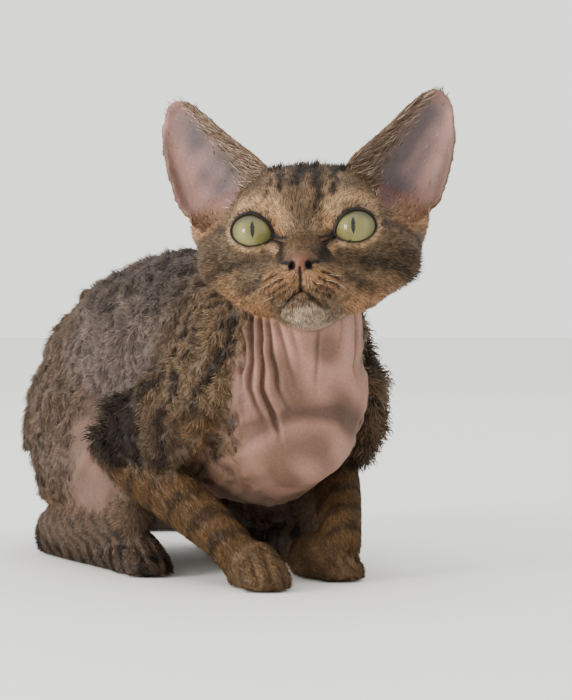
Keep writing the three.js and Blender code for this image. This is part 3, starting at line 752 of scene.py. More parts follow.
def face_colours(q):
    x = np.abs(q[:, 0])
    z = q[:, 2] + 0.25 * np.maximum(q[:, 1] - 20, 0)
    flat = np.stack((x, z), 1)
    fine = soft_noise(q, 3, 31)
    broad = soft_noise(q, 14, 32)
    jog = flat + 0.6 * np.stack((soft_noise(q, 4, 33), soft_noise(q, 4, 34)), 1)
    colours = np.tile(TICKED, (len(q), 1))
    colours = lay(colours, WARM_BROWN, 0.45 + 0.4 * broad)
    brow = bell(to_line(jog, [(9.5, 2), (11.5, 8), (17, 12.5), (26, 12)]), 3.6)
    colours = lay(colours, BUFF, 0.85 * brow)
    colours = lay(colours, BUFF, 0.6 * bell(to_line(jog, [(12, 15), (13, 24)]), 3.0))
    colours = lay(colours, TICKED * 0.72, 0.75 * bell(jog[:, 0], 4.6) * bell(z - 5, 8))
    signed = np.stack((np.sign(q[:, 0]) * jog[:, 0], jog[:, 1]), 1)
    for line, half in FOREHEAD:
        colours = lay(colours, STRIPE * 0.7, 0.94 * fade(half * 1.5 - to_line(signed, line), 0, half * 1.2))
    colours = lay(colours, STRIPE, 0.7 * fade(z + 2 * fine, 30, 36) * fade(q[:, 1], 14, 30))
    under_eye = bell(to_line(jog, [(13, -11), (20, -13), (28, -12), (38, -9)]), 4.6)
    colours = lay(colours, TICKED * 0.55, 0.8 * under_eye)
    for line in CHEEK_LINES:
        colours = lay(colours, STRIPE, 0.8 * bell(to_line(jog, line), 1.7))
    inner = to_line(jog, [(10.2, -1.5), (9.6, 2), (10.5, 5)])
    colours = lay(colours, APRICOT, 0.9 * bell(inner, 1.9))
    cheek = to_line(jog, [(19, -30), (27, -30), (35, -25)])
    colours = lay(colours, APRICOT, 0.8 * bell(cheek, 4.2))
    # painted shade on the cat's left cheek, the side turned from the light
    colours = lay(colours, STRIPE, 0.65 * fade(q[:, 0], 34, 46) * fade(-z + 2 * fine, 2, 12))
    colours = lay(colours, APRICOT, 0.85 * bell(to_line(flat, [(42, 8), (47, 11)]), 4.6))
    # painted shade in the notch at the lower outer edge of each ear
    colours = lay(colours, STRIPE * 0.7, 0.95 * bell(to_line(flat, [(54.5, 9), (55, 16)]), 2.6))
    pad = bell(to_line(jog, [(6, -25), (14, -27)]), 5.2) * fade(-q[:, 1], 0, 8)
    colours = lay(colours, APRICOT * 0.85, 0.8 * pad)
    colours = lay(colours, TICKED * 0.7, 0.7 * bell(to_line(jog, [(2.5, -31), (7, -34.5), (13, -37)]), 2.2))
    rows = np.full(len(q), 9.0)
    spots = np.full(len(q), 9.0)
    for (row_x, row_z), count in WHISKER_ROWS:
        end = (row_x + SPOT_STEP[0] * (count + 1), row_z + SPOT_STEP[1] * (count + 1))
        rows = np.minimum(rows, to_line(flat, [(row_x, row_z), end]))
    for spot in whisker_spots():
        spots = np.minimum(spots, np.hypot(x - spot[0], z - spot[1]))
    muzzle = fade(-q[:, 1], -2, 6)
    colours = lay(colours, RUFOUS * 0.45, 0.8 * bell(rows, 0.8) * muzzle)
    colours = lay(colours, LEATHER_DARK * 0.6, 0.9 * fade(1.0 - spots, 0, 0.7) * muzzle)
    bridge = bell(x, 4.6) * fade(-z, 1, 6) * fade(z, -17, -12)
    colours = lay(colours, RUFOUS * 0.62, 0.9 * bridge * muzzle)
    tear_half = np.where(q[:, 0] > 0, 3.4, 2.4)
    tear = bell(to_line(flat, TEAR) / tear_half, 1) * fade(-q[:, 1], -24, -16)
    colours = lay(colours, LEATHER_DARK * 0.8, 0.95 * tear)
    lip = bell(x, 5.5) * bell(z + 33.6, 2.4) * muzzle
    colours = lay(colours, SKIN_BROWN * 0.4, 0.8 * lip)
    chin = fade(-x, -26, -8) * fade(-z - 0.1 * x + 1.4 * fine, 33, 40) * fade(-q[:, 1], -24, -12)
    colours = lay(colours, CHIN_WHITE, 0.8 * chin)
    under = fade(-z, 34, 40) * fade(q[:, 1], 8, 20)
    colours = lay(colours, SKIN_PINK, 0.7 * under)
    colours = lay(colours, TICKED * 0.85, fade(q[:, 1], 34, 52))
    lid_line = np.where(lid_upper < 0, bell(lid_outside - 1.5, 0.8), 0.5 * bell(lid_outside - 3.4, 1.2))
    colours = lay(colours, BUFF, 0.8 * lid_line)
    dark_edge = 0.4 + 0.7 * fade(lid_upper, 0, 4)
    return lay(colours, LEATHER_DARK * 0.4, 0.97 * fade(dark_edge - lid_outside, -0.3, 0.3))


LEATHER_HEIGHTS = [-24.2, -22.6, -20.8, -19.2, -17.2, -15.4, -14.2]
LEATHER_HALVES = [0.5, 1.6, 3.4, 5.0, 7.2, 6.2, 3.4]


def leather_share(q):
    """The bare tip of the nose: a wide top, narrowing to the groove."""
    x = np.abs(q[:, 0])
    z = q[:, 2]
    half = np.interp(z, LEATHER_HEIGHTS, LEATHER_HALVES)
    return fade(half - x, -0.4, 0.4) * fade(-q[:, 1], 14, 17) * fade(z, -24.6, -23.8) * fade(-z, 13.6, 14.6)


# %% Nose, mouth and ears
def head_colours(q):
    x = np.abs(q[:, 0])
    colours = face_colours(q)
    leather = leather_share(q)
    colours = lay(colours, LEATHER, leather)
    pink_half = np.interp(q[:, 2], [-23, -20.5, -18.6, -16.5, -14.4], [0.9, 1.8, 2.2, 2.8, 2.4])
    colours = lay(colours, LEATHER * 0.35, 0.9 * leather * fade(x - pink_half, -0.3, 1.0))
    colours = lay(colours, RUFOUS * 0.6, 0.8 * leather * fade(q[:, 2], -17.4, -15.2))
    # painted shade inside the nostril dents and along their slits
    inner = fade(2.0 - np.linalg.norm((side_q - NOSTRIL) / (1.0, 2.2, 1.25), axis=1), 0, 0.6)
    slit_shade = fade(1.15 - to_line(side_q, NOSTRIL_SLIT), 0, 0.6)
    colours = lay(colours, LEATHER_DARK * 0.3, 0.98 * np.maximum(inner, slit_shade))
    mouth_end = fade(-x, -11, -4)
    colours = lay(colours, LEATHER_DARK * 0.8, 0.9 * fade(0.9 - mouth_away, 0, 0.9) * front * mouth_end)
    # painted shade along the groove under the nose
    return lay(colours, LEATHER_DARK * 0.7, 0.85 * fade(0.9 - groove_away, 0, 0.6) * front)


def ear_colours(q):
    outer = lay(np.tile(WARM_BROWN * 0.75, (len(q), 1)), STRIPE, 0.6 * fade(ear_along, 26, 46))
    return lay(outer, RUFOUS, 0.7 * fade(ear_along, -12, 0) * fade(-ear_along, -22, -8))


def cup_colours(q):
    # painted shade: the cup is greyer deep in its hollow and all over the cat's left ear, which is turned
    # from the light; the noise adds a grey tone at random
    deepest = bell(ear_side + 0.05, 0.6) * fade(ear_deep, 0, 8)
    grey_and_shade = np.clip(0.1 + 0.8 * deepest + 0.2 * (q[:, 0] > 0) + 0.15 * soft_noise(q, 12, 41), 0, 1)
    inner = EAR_PINK + (EAR_GREY_SHADE - EAR_PINK) * grey_and_shade[:, None]
    inner = lay(inner, EAR_FLUSH, 0.6 * fade(-ear_along, -6, 8))
    # painted shade at the bottom of the cup's funnel
    inner = lay(inner, SKIN_BROWN * 0.6, 0.6 * fade(-ear_along, 6, 14))
    inner = lay(inner, TICKED * 0.9, 0.85 * inner_fur)
    inner = lay(inner, SKIN_PINK, 0.4 * bell(ear_side - 0.72, 0.16))
    return lay(inner, SKIN_BROWN * 0.8, 0.7 * fade(ear_side, 0.84, 0.96) + 0.6 * fade(ear_along, 40, 46))


BODY_TONE = 0.88
base_colours = BODY_TONE * body_colours(b, round_neck)
base_colours = lay(base_colours, head_colours(q), is_head)
base_colours = lay(base_colours, ear_colours(q), np.clip(is_ear * 1.2, 0, 1))
base_colours = lay(base_colours, cup_colours(q), ear_inside)
base_colours = lay(base_colours, EAR_LOBE, 0.85 * ear_lobe)
print("markings laid on", len(base_colours), "vertices")

# %% [markdown]
# ## Unwrap
#
# The skin is unwrapped by its own shape: each part of the body is seen from the side that its faces
# look to, and these pieces are set on shelves in the unit square. Each tuft later gets a small patch
# of the same map at its root.

# %% Unwrap the skin
MAP_NAME = "OFBake"
MAP_GAP = 0.002
face_total = len(skin_mesh.polygons)
loop_vertex = np.empty(len(skin_mesh.loops), np.int64)
skin_mesh.loops.foreach_get("vertex_index", loop_vertex)
face_start = np.empty(face_total, np.int64)
skin_mesh.polygons.foreach_get("loop_start", face_start)
face_size = np.empty(face_total, np.int64)
skin_mesh.polygons.foreach_get("loop_total", face_size)
face_normal = np.empty(face_total * 3)
skin_mesh.polygons.foreach_get("normal", face_normal)
face_normal = face_normal.reshape(-1, 3)
widest = np.abs(face_normal).argmax(1)
looks_back = np.take_along_axis(face_normal, widest[:, None], 1)[:, 0] < 0
face_part = node_of[loop_vertex[face_start]]
chart_key, face_chart = np.unique(face_part * 6 + widest * 2 + looks_back, return_inverse=True)
PLANES = np.array([(1, 2), (0, 2), (0, 1)])
chart_plane = PLANES[(chart_key % 6) // 2]


def flat_place(place, chart):
    return np.take_along_axis(place, chart_plane[chart], 1)


loop_chart = np.repeat(face_chart, face_size)
loop_flat = flat_place(points[loop_vertex], loop_chart)
chart_low = np.full((len(chart_key), 2), 1e9)
chart_high = np.full((len(chart_key), 2), -1e9)
np.minimum.at(chart_low, loop_chart, loop_flat)
np.maximum.at(chart_high, loop_chart, loop_flat)


def on_shelves(sizes):
    """Lower corners of the pieces in the unit square, and the scale at which they fit."""
    order = np.argsort(-sizes[:, 1])
    scale = 1 / math.sqrt(sizes.prod(1).sum())
    while True:
        corners = np.zeros_like(sizes)
        x = y = shelf = 0.0
        for i in order:
            width, height = sizes[i] * scale + MAP_GAP
            if x + width > 1:
                x = 0.0
                y += shelf
                shelf = 0.0
            corners[i] = (x, y)
            x += width
            shelf = max(shelf, height)
        if y + shelf <= 1:
            return corners, scale
        scale *= 0.97


chart_corner, map_scale = on_shelves(chart_high - chart_low)


def map_place(place, chart):
    return (flat_place(place, chart) - chart_low[chart]) * map_scale + chart_corner[chart] + MAP_GAP / 2


skin_map = skin_mesh.uv_layers.new(name=MAP_NAME)
skin_map.data.foreach_set("uv", map_place(points[loop_vertex], loop_chart).astype(np.float32).ravel())
print("charts:", len(chart_key), "map scale:", round(map_scale, 2))


# %% Give a mesh its colours
def store_colours(mesh, colours):
    layer = mesh.color_attributes.new("coat", "FLOAT_COLOR", "POINT")
    full = np.ones((len(mesh.vertices), 4), np.float32)
    full[:, :3] = colours
    layer.data.foreach_set("color", full.ravel())
    mesh.color_attributes.active_color = layer


UNDER_DARKER = 0.38  # the skin is this much darker under fur than the hair over it
HEAD_LESS = 0.55
hidden_by_fur = (1 - bare) * (1 - ear_inside) * (1 - HEAD_LESS * is_head)
store_colours(skin_mesh, base_colours * (1 - UNDER_DARKER * hidden_by_fur)[:, None])
skin_mesh.polygons.foreach_set("use_smooth", np.ones(face_total, bool))

# %% [markdown]
# ## Materials
#
# Every material starts from a Principled shader. The colour comes from the painted attribute, broken up
# by noise at the scale of single hairs, with a fine bump for the pores and down of the bare skin.


# %% Materials
def new_material(name, roughness, **settings):
    material = bpy.data.materials.new(name)
    material.use_nodes = True
    shader = material.node_tree.nodes["Principled BSDF"]
    shader.inputs["Roughness"].default_value = roughness
    for socket, value in settings.items():
        shader.inputs[socket.replace("_", " ")].default_value = value
    return material, material.node_tree.nodes, material.node_tree.links, shader


def painted_material(name, roughness, grain, strength, bump_scale, bump, **settings):
    """The painted colour, made lighter and darker by noise of one grain."""
    material, nodes, links, shader = new_material(name, roughness, **settings)
    colour = nodes.new("ShaderNodeAttribute")
    colour.attribute_name = "coat"
    place = nodes.new("ShaderNodeTexCoord")
    speckle = nodes.new("ShaderNodeTexNoise")
    speckle.inputs["Scale"].default_value = grain
    speckle.inputs["Detail"].default_value = 3
    spread = nodes.new("ShaderNodeMapRange")
    spread.inputs["To Min"].default_value = 1 - strength
    spread.inputs["To Max"].default_value = 1 + strength
    tint = nodes.new("ShaderNodeVectorMath")
    tint.operation = "SCALE"
    links.new(place.outputs["Object"], speckle.inputs["Vector"])
    links.new(speckle.outputs["Fac"], spread.inputs["Value"])
    links.new(colour.outputs["Color"], tint.inputs[0])
    links.new(spread.outputs["Result"], tint.inputs["Scale"])
    links.new(tint.outputs["Vector"], shader.inputs["Base Color"])
    if bump:
        pores = nodes.new("ShaderNodeTexNoise")
        pores.inputs["Scale"].default_value = bump_scale
        pores.inputs["Detail"].default_value = 4
        relief_node = nodes.new("ShaderNodeBump")
        relief_node.inputs["Strength"].default_value = bump
        relief_node.inputs["Distance"].default_value = 0.0004
        links.new(place.outputs["Object"], pores.inputs["Vector"])
        links.new(pores.outputs["Fac"], relief_node.inputs["Height"])
        links.new(relief_node.outputs["Normal"], shader.inputs["Normal"])
    return material


soft_flesh = {"Subsurface_Weight": 0.12, "Subsurface_Scale": 0.004, "Specular_IOR_Level": 0.22}
skin_material = painted_material("skin_with_down", 0.6, 900, 0.28, 700, 0.55, **soft_flesh)
coat_material = painted_material("wavy_coat", 0.6, 420, 0.3, 0, 0, Specular_IOR_Level=0.14)
skin_mesh.materials.clear()
skin_mesh.materials.append(skin_material)

# %% [markdown]
# ## The lie of the coat
#
# Hair grows away from the nose over the head, back along the trunk and down the limbs.
# Each part gets a direction, and the directions are smoothed over the skin and laid flat on it.

# %% Lie of the coat
LIE = {
    "neck": (0, 0.5, -0.9),
    "chest": (0, 0.75, -0.75),
    "belly": (0, 0.95, -0.5),
    "rump": (0, 0.85, -0.6),
    "upper_arm": (0, 0.65, -0.9),
    "forearm": (0, -0.75, -0.65),
    "forepaw": (0, -1, -0.15),
    "thigh": (0, 0.35, -0.95),
    "lower_leg": (0, 0.9, -0.35),
    "hind_foot": (0, -1, -0.1),
    "tail_root": (0.1, 0.6, -0.7),
    "tail_middle": (0.4, -0.8, -0.1),
    "tail_tip": (0, -1, 0),
}
normals = vertex_normals(skin_mesh)
lie = np.zeros_like(points)
for word, direction in LIE.items():
    lie += part_mask(node_of, word)[:, None] * unit(np.array(direction, float))
from_nose = unit(q - (0, -26, -14))
side_up = np.tile(ear_up, (len(q), 1))
side_up[:, 0] *= np.sign(q[:, 0])
lie += part_mask(node_of, "head", "eye")[:, None] * (from_nose @ TURN.T)
lie += part_mask(node_of, "ear")[:, None] * (side_up @ TURN.T)
lie = smoothed(lie, edges, 25, swell=0)
lie += 0.25 * np.stack([soft_noise(b, 16, 50 + k) for k in range(3)], 1) * (0.3 + 0.7 * wavy)[:, None]
lie += 0.28 * np.stack([soft_noise(b, 4.5, 60 + k) for k in range(3)], 1) * (0.35 + 0.65 * wavy)[:, None]
lie = unit(lie - normals * (lie * normals).sum(1)[:, None])
sway_turn = 0.8 * np.clip(wavy, 0, 1) * np.cos(wave_turn)
lie = lie * np.cos(sway_turn)[:, None] + np.cross(normals, lie) * np.sin(sway_turn)[:, None]

# %% How long, wide, dense and raised the tufts are
on_limb = np.clip(is_limb, 0, 1)
on_ear = np.clip(is_ear * 1.2, 0, 1)
on_body = np.clip(wavy, 0, 1)
length = 4.6 * on_body + 4.2 * is_tail + 3.4 * on_limb
face_length = 2.2 + 1.2 * fade(q[:, 1], 2, 30)
cheek_edge = is_head * fade(side, 30, 44) * fade(-q[:, 2], 0, 18) * np.where(q[:, 0] > 0, 1, 0.5)
length = length * (1 - is_head) + (face_length + 2.4 * crown + 3.5 * cheek_edge) * is_head
length = length * (1 - on_ear) + (1.7 + 2.5 * fade(ear_along, 42, 47)) * on_ear
length = length * (1 - ear_inside) + (2.0 + 3.2 * inner_fur) * ear_inside
fringe = is_upper_arm * fade(b[:, 1], 22, 38)
fringe += is_upper_arm * fade(b[:, 0], 24, 36) * fade(-b[:, 1], -16, 0)
fringe = np.clip(fringe, 0, 1)
length = np.clip(length + 3.4 * fringe - 3.2 * bare, 1.3, 10)
lift = 0.22 + 0.1 * wave * wavy + 0.35 * fringe + 0.45 * cheek_edge + 0.4 * crown + 0.1 * ear_inside
down = fade(lid_outside, 0.1, 0.9) * (1 - leather_share(q) * is_head) * fade(b[:, 2], 0.4, 2.0)
down *= 1 - 0.6 * is_head * front * bell(np.minimum(mouth_away, groove_away), 0.6)
cover = (1 - 0.9 * bare) * down * (1 - ear_inside * (0.985 - 0.6 * inner_fur))
body_cover = cover * (on_body + 1.4 * on_limb + 1.1 * is_tail)
head_cover = cover * np.clip(is_head * (1 + 1.6 * fade(-q[:, 1], -44, -14)) + 0.9 * on_ear, 0, 2.6)
long_locks = np.clip(crown + cheek_edge + fringe, 0, 1)
width = 0.17 + 0.05 * on_body + 0.1 * long_locks
contrast = 0.5 + 0.5 * is_head
print("tuft lengths in mm:", round(float(length.min()), 1), "to", round(float(length.max()), 1))

# %% [markdown]
# ## Tufts
#
# A tuft is a thin three-sided lock that starts inside the skin, leans along the lie of the coat and
# ends in a point. Most have one straight segment. Longer ones have two or three and wave from side
# to side. Hair of a particle system would be lost in the export, so all tufts are worked out as
# arrays and joined into a few meshes. Their tones differ along the tuft and from tip to tip, as
# ticked hair does.

# %% Draw the roots
skin_mesh.calc_loop_triangles()
triangle_total = len(skin_mesh.loop_triangles)
triangle = np.empty(triangle_total * 3, np.int64)
skin_mesh.loop_triangles.foreach_get("vertices", triangle)
triangle = triangle.reshape(-1, 3)
triangle_face = np.empty(triangle_total, np.int64)
skin_mesh.loop_triangles.foreach_get("polygon_index", triangle_face)
corner = points[triangle] / MM
area = np.linalg.norm(np.cross(corner[:, 1] - corner[:, 0], corner[:, 2] - corner[:, 0]), axis=1) / 2
SEED = 2024
draw = np.random.default_rng(SEED)
HAIRS = {1: 200_000, 2: 52_000, 3: 7_000}  # how many tufts have one, two or three segments
COVERS = {
    1: head_cover + body_cover * (1 - fringe),
    2: body_cover * (1 - fringe) + 1.3 * down * (1 - ear_inside) * np.clip(crown + cheek_edge, 0, 1),
    3: fringe * down,
}
chosen = []
tuft_segments = []
for segments, total in HAIRS.items():
    chance = area * np.clip(COVERS[segments], 0, None)[triangle].mean(1)
    total = int(total * (1.0))
    chosen.append(np.searchsorted(np.cumsum(chance) / chance.sum(), draw.random(total)))
    tuft_segments.append(np.full(total, segments))
    print("tufts of", segments, "segments:", total, "a square mm:", round(total / chance.sum(), 2))
chosen = np.concatenate(chosen)
tuft_segments = np.concatenate(tuft_segments)
tuft_total = len(chosen)
shares = draw.dirichlet((1, 1, 1), tuft_total)


def at_roots(values):
    """A value of the skin's vertices at every root."""
    picked = values[triangle[chosen]]
    weights = shares if values.ndim == 1 else shares[:, :, None]
    return (picked * weights).sum(1)


root = at_roots(points)
root_normal = unit(at_roots(normals))
root_lie = at_roots(lie)
root_colour = at_roots(base_colours)
root_length = at_roots(length) * draw.uniform(0.75, 1.2, tuft_total)
root_width = at_roots(width) * draw.uniform(0.75, 1.25, tuft_total)
root_lift = at_roots(lift) * draw.uniform(0.6, 1.35, tuft_total)
root_bare = at_roots(bare)
root_wavy = at_roots(np.clip(wavy, 0, 1))
root_wave = at_roots(wave * np.clip(wavy, 0, 1))
root_cup = at_roots(ear_inside)
root_contrast = at_roots(contrast)
root_chart = face_chart[triangle_face[chosen]]
root_map = map_place(root, root_chart)
root_node = node_of[triangle[chosen][:, 0]]

# %% Shape the tufts
STATIONS = {3: (0.0, 0.36, 0.7, 1.0), 2: (0.0, 0.5, 1.0), 1: (0.0, 1.0)}
THICK = {3: (0.8, 1.0, 0.7, 0.0), 2: (0.85, 0.85, 0.0), 1: (1.0, 0.0)}
PATCH = 0.003
FLOOR_CLEAR = 0.0001  # hair that would dip into the floor lies on it
SUNK = {3: 0.4, 2: 0.35, 1: 0.12}
BEND = {3: (1.1, 0.75), 2: (1.15, 0.7), 1: (0.9, 0.9)}  # how steep along the tuft and at its tip
TONE = {3: (0.55, 0.95, 1.2, 1.0), 2: (0.65, 1.05, 1.1), 1: (0.75, 1.12)}
TIPS = (0.35, 1.0, 1.7)
PALE_HAIR = paint(206, 184, 160)
LOCK_SIZE = 1.6
root_width = np.where(root_bare > 0.4, 0.1, root_width)
root_colour = lay(root_colour, PALE_HAIR, 0.8 * root_cup * (draw.random(tuft_total) < 0.4))
# painted light and shade: tufts on the crests of the waves are made lighter, those in the troughs darker
root_colour *= (1 + 0.22 * root_wave)[:, None]
lock_tone = soft_noise(root / MM, LOCK_SIZE, 71) * (0.1 + 0.14 * root_contrast)


def tuft_arrays(pick, segments):
    """Vertices, triangles, colours and map of the picked tufts."""
    count = len(pick)
    n = root_normal[pick]
    forward = root_lie[pick] + 0.16 * draw.normal(size=(count, 3))
    forward = unit(forward - n * (forward * n).sum(1)[:, None])
    sideways = np.cross(n, forward)
    long = root_length[pick] * MM
    start_turn = draw.uniform(0, 2 * math.pi, count)
    curl = (0.05 + 0.1 * root_wavy[pick]) * long
    rise = np.clip(root_lift[pick], 0.05, 1.1)
    bright = 1 + lock_tone[pick] + draw.normal(0, 0.24, count) * root_contrast[pick]
    bright = np.clip(bright, 0.4, 1.8)
    tip_tone = 1 + (draw.choice(TIPS, count, p=(0.3, 0.4, 0.3)) - 1) * root_contrast[pick]
    rings = []
    tones = []
    for share, thick, tone in zip(STATIONS[segments], THICK[segments], TONE[segments]):
        height = long * rise * BEND[segments][share > 0.9] * share - SUNK[segments] * MM * (share == 0)
        reach = long * share * np.sqrt(np.clip(1 - (0.6 * rise) ** 2, 0.3, 1))
        sway = curl * (np.sin(start_turn + 5.2 * share) - np.sin(start_turn))
        middle = root[pick] + forward * reach[:, None] + n * height[:, None] + sideways * sway[:, None]
        half = (root_width[pick] * MM * thick)[:, None]
        shade = tone * bright * (tip_tone if share == 1 else 1)
        if thick:
            rings += [middle + sideways * half, middle + n * half * 0.6, middle - sideways * half]
            tones += [shade] * 3
        else:
            rings.append(middle)
            tones.append(shade)
    per_tuft = len(rings)
    vertices = np.stack(rings, 1)
    vertices[:, :, 2] = np.maximum(vertices[:, :, 2], FLOOR_CLEAR)
    colours = np.clip(root_colour[pick][:, None, :] * np.stack(tones, 1)[:, :, None], 0, 1)
    faces = [(0, 1, 2)]
    for k in range(segments - 1):
        base = 3 * k
        for j in range(3):
            a, c = base + j, base + (j + 1) % 3
            faces += [(a, a + 3, c), (c, a + 3, c + 3)]
    base = 3 * (segments - 1)
    faces += [(base + j, per_tuft - 1, base + (j + 1) % 3) for j in range(3)]
    faces = np.array(faces)
    index = faces[None] + per_tuft * np.arange(count)[:, None, None]
    patch = np.array([((i % 3) / 2, (i // 3) / segments) for i in range(per_tuft)]) - 0.5
    spots = root_map[pick][:, None, None, :] + PATCH * patch[faces][None]
    return vertices.reshape(-1, 3), index.reshape(-1, 3), colours.reshape(-1, 3), spots.reshape(-1, 2)


def mesh_piece(name, vertices, faces, material, colours=None, spots=None):
    """A mesh of triangles, smooth, with its colours and its map."""
    mesh = bpy.data.meshes.new(name)
    mesh.vertices.add(len(vertices))
    mesh.vertices.foreach_set("co", vertices.astype(np.float32).ravel())
    mesh.loops.add(faces.size)
    mesh.loops.foreach_set("vertex_index", faces.astype(np.int32).ravel())
    mesh.polygons.add(len(faces))
    mesh.polygons.foreach_set("loop_start", np.arange(0, faces.size, 3, dtype=np.int32))
    mesh.polygons.foreach_set("use_smooth", np.ones(len(faces), bool))
    mesh.update(calc_edges=True)
    if spots is not None:
        layer = mesh.uv_layers.new(name=MAP_NAME)
        layer.data.foreach_set("uv", np.clip(spots, 0, 1).astype(np.float32).ravel())
    if colours is not None:
        store_colours(mesh, colours)
    mesh.materials.append(material)
    piece = bpy.data.objects.new(name, mesh)
    bpy.context.scene.collection.objects.link(piece)
    return piece


# %% Join the tufts into pieces
PIECE_FACES = 190_000
SIZE_WORDS = {1: "fine", 2: "short", 3: "long"}
COATS = {
    "coat_head": (("head", "eye", "ear"), "coat"),
    "coat_trunk": (("neck", "chest", "belly", "rump"), "coat"),
    "coat_shoulders": (("upper_arm",), "coat"),
    "coat_thighs": (("thigh",), "coat"),
    "coat_legs": (("forearm", "forepaw", "lower_leg", "hind_foot"), "rufous_coat"),
    "coat_tail": (("tail",), "coat"),
}
coat_pieces = []
coat_faces = 0
for coat_name, (words, slot_name) in COATS.items():
    here = part_mask(root_node, *words) > 0
    for segments, size_word in SIZE_WORDS.items():
        picked = np.flatnonzero(here & (tuft_segments == segments))
        per_piece = PIECE_FACES // (6 * (segments - 1) + 4)
        for number, start in enumerate(range(0, len(picked), per_piece)):
            vertices, faces, colours, spots = tuft_arrays(picked[start:start + per_piece], segments)
            title = f"{coat_name}_{size_word}_{number + 1}"
            piece = mesh_piece(title, vertices, faces, coat_material, colours, spots)
            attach(piece, "root")
            coat_pieces.append(piece)
            coat_faces += len(faces)
print("coat pieces:", len(coat_pieces), "triangles:", coat_faces)

# %% [markdown]
# ## Eyes
#
# Each eye is a ball with the bulge of the cornea. The iris is pale green with fine spokes, a dark rim
# and a narrow slit, and the gloss of the wet surface comes from a clear coat.

# %% Eyes
IRIS_RADIUS = 8.9
CORNEA_BULGE = 1.0
SLIT = (0.9, 3.6)  # half width and half height of the pupil
EYE_SEGMENTS = 96
EYE_RINGS = 72
IRIS_PALE = paint(132, 126, 78)
IRIS_GREEN = paint(94, 91, 48)
IRIS_RIM = paint(44, 40, 23)
wet = {"Coat_Weight": 0.6, "Coat_Roughness": 0.02, "Specular_IOR_Level": 0.1}
eye_material = painted_material("wet_eye", 0.3, 1500, 0.1, 0, 0, **wet)


def iris_colours(local):
    a, up = local[:, 0], local[:, 1]
    far = np.hypot(a, up)
    spokes = np.sin(34 * np.arctan2(up, a) + 2 * np.sin(3 * far)) * 0.5 + 0.5
    colours = np.tile(IRIS_PALE, (len(local), 1))
    colours = lay(colours, IRIS_GREEN, fade(-far, -5.5, -1.5) * 0.8)
    colours = lay(colours, IRIS_GREEN * 0.7, 0.45 * spokes * fade(far, 1.5, 4))
    colours = lay(colours, IRIS_GREEN * 0.6, 0.6 * bell(far - 7.2, 1.3))
    colours = lay(colours, IRIS_RIM, fade(far, IRIS_RADIUS - 2.0, IRIS_RADIUS))
    # painted shade of the upper lid over the top of the iris
    colours = lay(colours, IRIS_RIM * 0.7, 0.85 * fade(up, 1.0, 6.0))
    slit = (np.abs(a) / SLIT[0]) ** 1.3 + (np.abs(up) / SLIT[1]) ** 1.8
    colours = lay(colours, LEATHER_DARK * 0.5, fade(far, IRIS_RADIUS, IRIS_RADIUS + 0.6))
    return lay(colours, np.array((0.004, 0.004, 0.003)), fade(-slit, -1.12, -0.88))


for which, word in ((-1, "right"), (1, "left")):
    bpy.ops.mesh.primitive_uv_sphere_add(segments=EYE_SEGMENTS, ring_count=EYE_RINGS, radius=1)
    eye = bpy.context.object
    eye.name = "eyeball_" + word
    local = coordinates(eye.data)
    far_out = np.degrees(np.arccos(np.clip(local[:, 2], -1, 1)))
    local = local * (EYE_RADIUS - 0.1 + CORNEA_BULGE * fade(-far_out, -42, -12))[:, None]
    across, forward, up = eye_axes(which, GAZE_OUT)
    placed = local[:, :1] * across + local[:, 1:2] * up + local[:, 2:] * forward
    set_coordinates(eye.data, from_head(eye_centre(which) + placed))
    store_colours(eye.data, iris_colours(local))
    eye.data.materials.append(eye_material)
    turned_out(eye)
    bpy.ops.object.shade_smooth()
    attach(eye, "root")
    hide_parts("eye_" + word)
print("radius of the eyes in mm:", EYE_RADIUS)

# %% [markdown]
# ## Lid rims and whiskers
#
# The dark wet margin of the lids is a thin ring that follows the opening. Whiskers of this breed are
# short, bent and often broken, so they are drawn as thin curved hairs of uneven length.


# %% Tubes along lines
def tube(line, radii, sides, closed):
    """Vertices and triangles of a round tube along a line of points."""
    line = np.asarray(line, float)
    count = len(line)
    ahead = np.roll(line, -1, 0) - np.roll(line, 1, 0)
    if not closed:
        ahead[0] = line[1] - line[0]
        ahead[-1] = line[-1] - line[-2]
    ahead = unit(ahead)
    guide = unit(np.cross(ahead, unit(line.mean(0) - FACE + (0.01, 0.02, 0.03))))
    over = np.cross(ahead, guide)
    turns = 2 * math.pi * np.arange(sides) / sides
    ring = np.cos(turns)[None, :, None] * guide[:, None] + np.sin(turns)[None, :, None] * over[:, None]
    vertices = (line[:, None] + ring * np.asarray(radii)[:, None, None]).reshape(-1, 3)
    faces = []
    for i in range(count if closed else count - 1):
        for j in range(sides):
            a, c = i * sides + j, i * sides + (j + 1) % sides
            d, e = ((i + 1) % count) * sides + j, ((i + 1) % count) * sides + (j + 1) % sides
            faces += [(a, c, d), (c, e, d)]
    if not closed:
        vertices = np.vstack((vertices, line[0], line[-1]))
        last = (count - 1) * sides
        for j in range(sides):
            faces.append((count * sides, (j + 1) % sides, j))
            faces.append((count * sides + 1, last + j, last + (j + 1) % sides))
    return vertices, np.array(faces)


# %% Lid rims
RIM_STEPS = 84
RIM_RADIUS = 0.22
rim_material, _, _, rim_shader = new_material("lid_margin", 0.45, Specular_IOR_Level=0.2)
rim_shader.inputs["Base Color"].default_value = (*(LEATHER_DARK * 0.4), 1)
for which, word in ((-1, "right"), (1, "left")):
    turns = 2 * math.pi * np.arange(RIM_STEPS) / RIM_STEPS
    reach = lid_edge(turns) + 0.1
    directions = eye_direction(reach * np.cos(turns), reach * np.sin(turns), which)
    line = from_head(eye_centre(which) + directions * (EYE_RADIUS + 0.2))
    inner_corner = bell(np.degrees(np.abs(turns - math.pi)), 26)
    upper = np.clip(np.sin(turns), 0, 1)
    vertices, faces = tube(line, (RIM_RADIUS + 0.4 * inner_corner + 0.3 * upper) * MM, 10, True)
    rim = mesh_piece("lid_rim_" + word, vertices, faces, rim_material)
    turned_out(rim)
    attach(rim, "root")
print("steps round each lid rim:", RIM_STEPS)

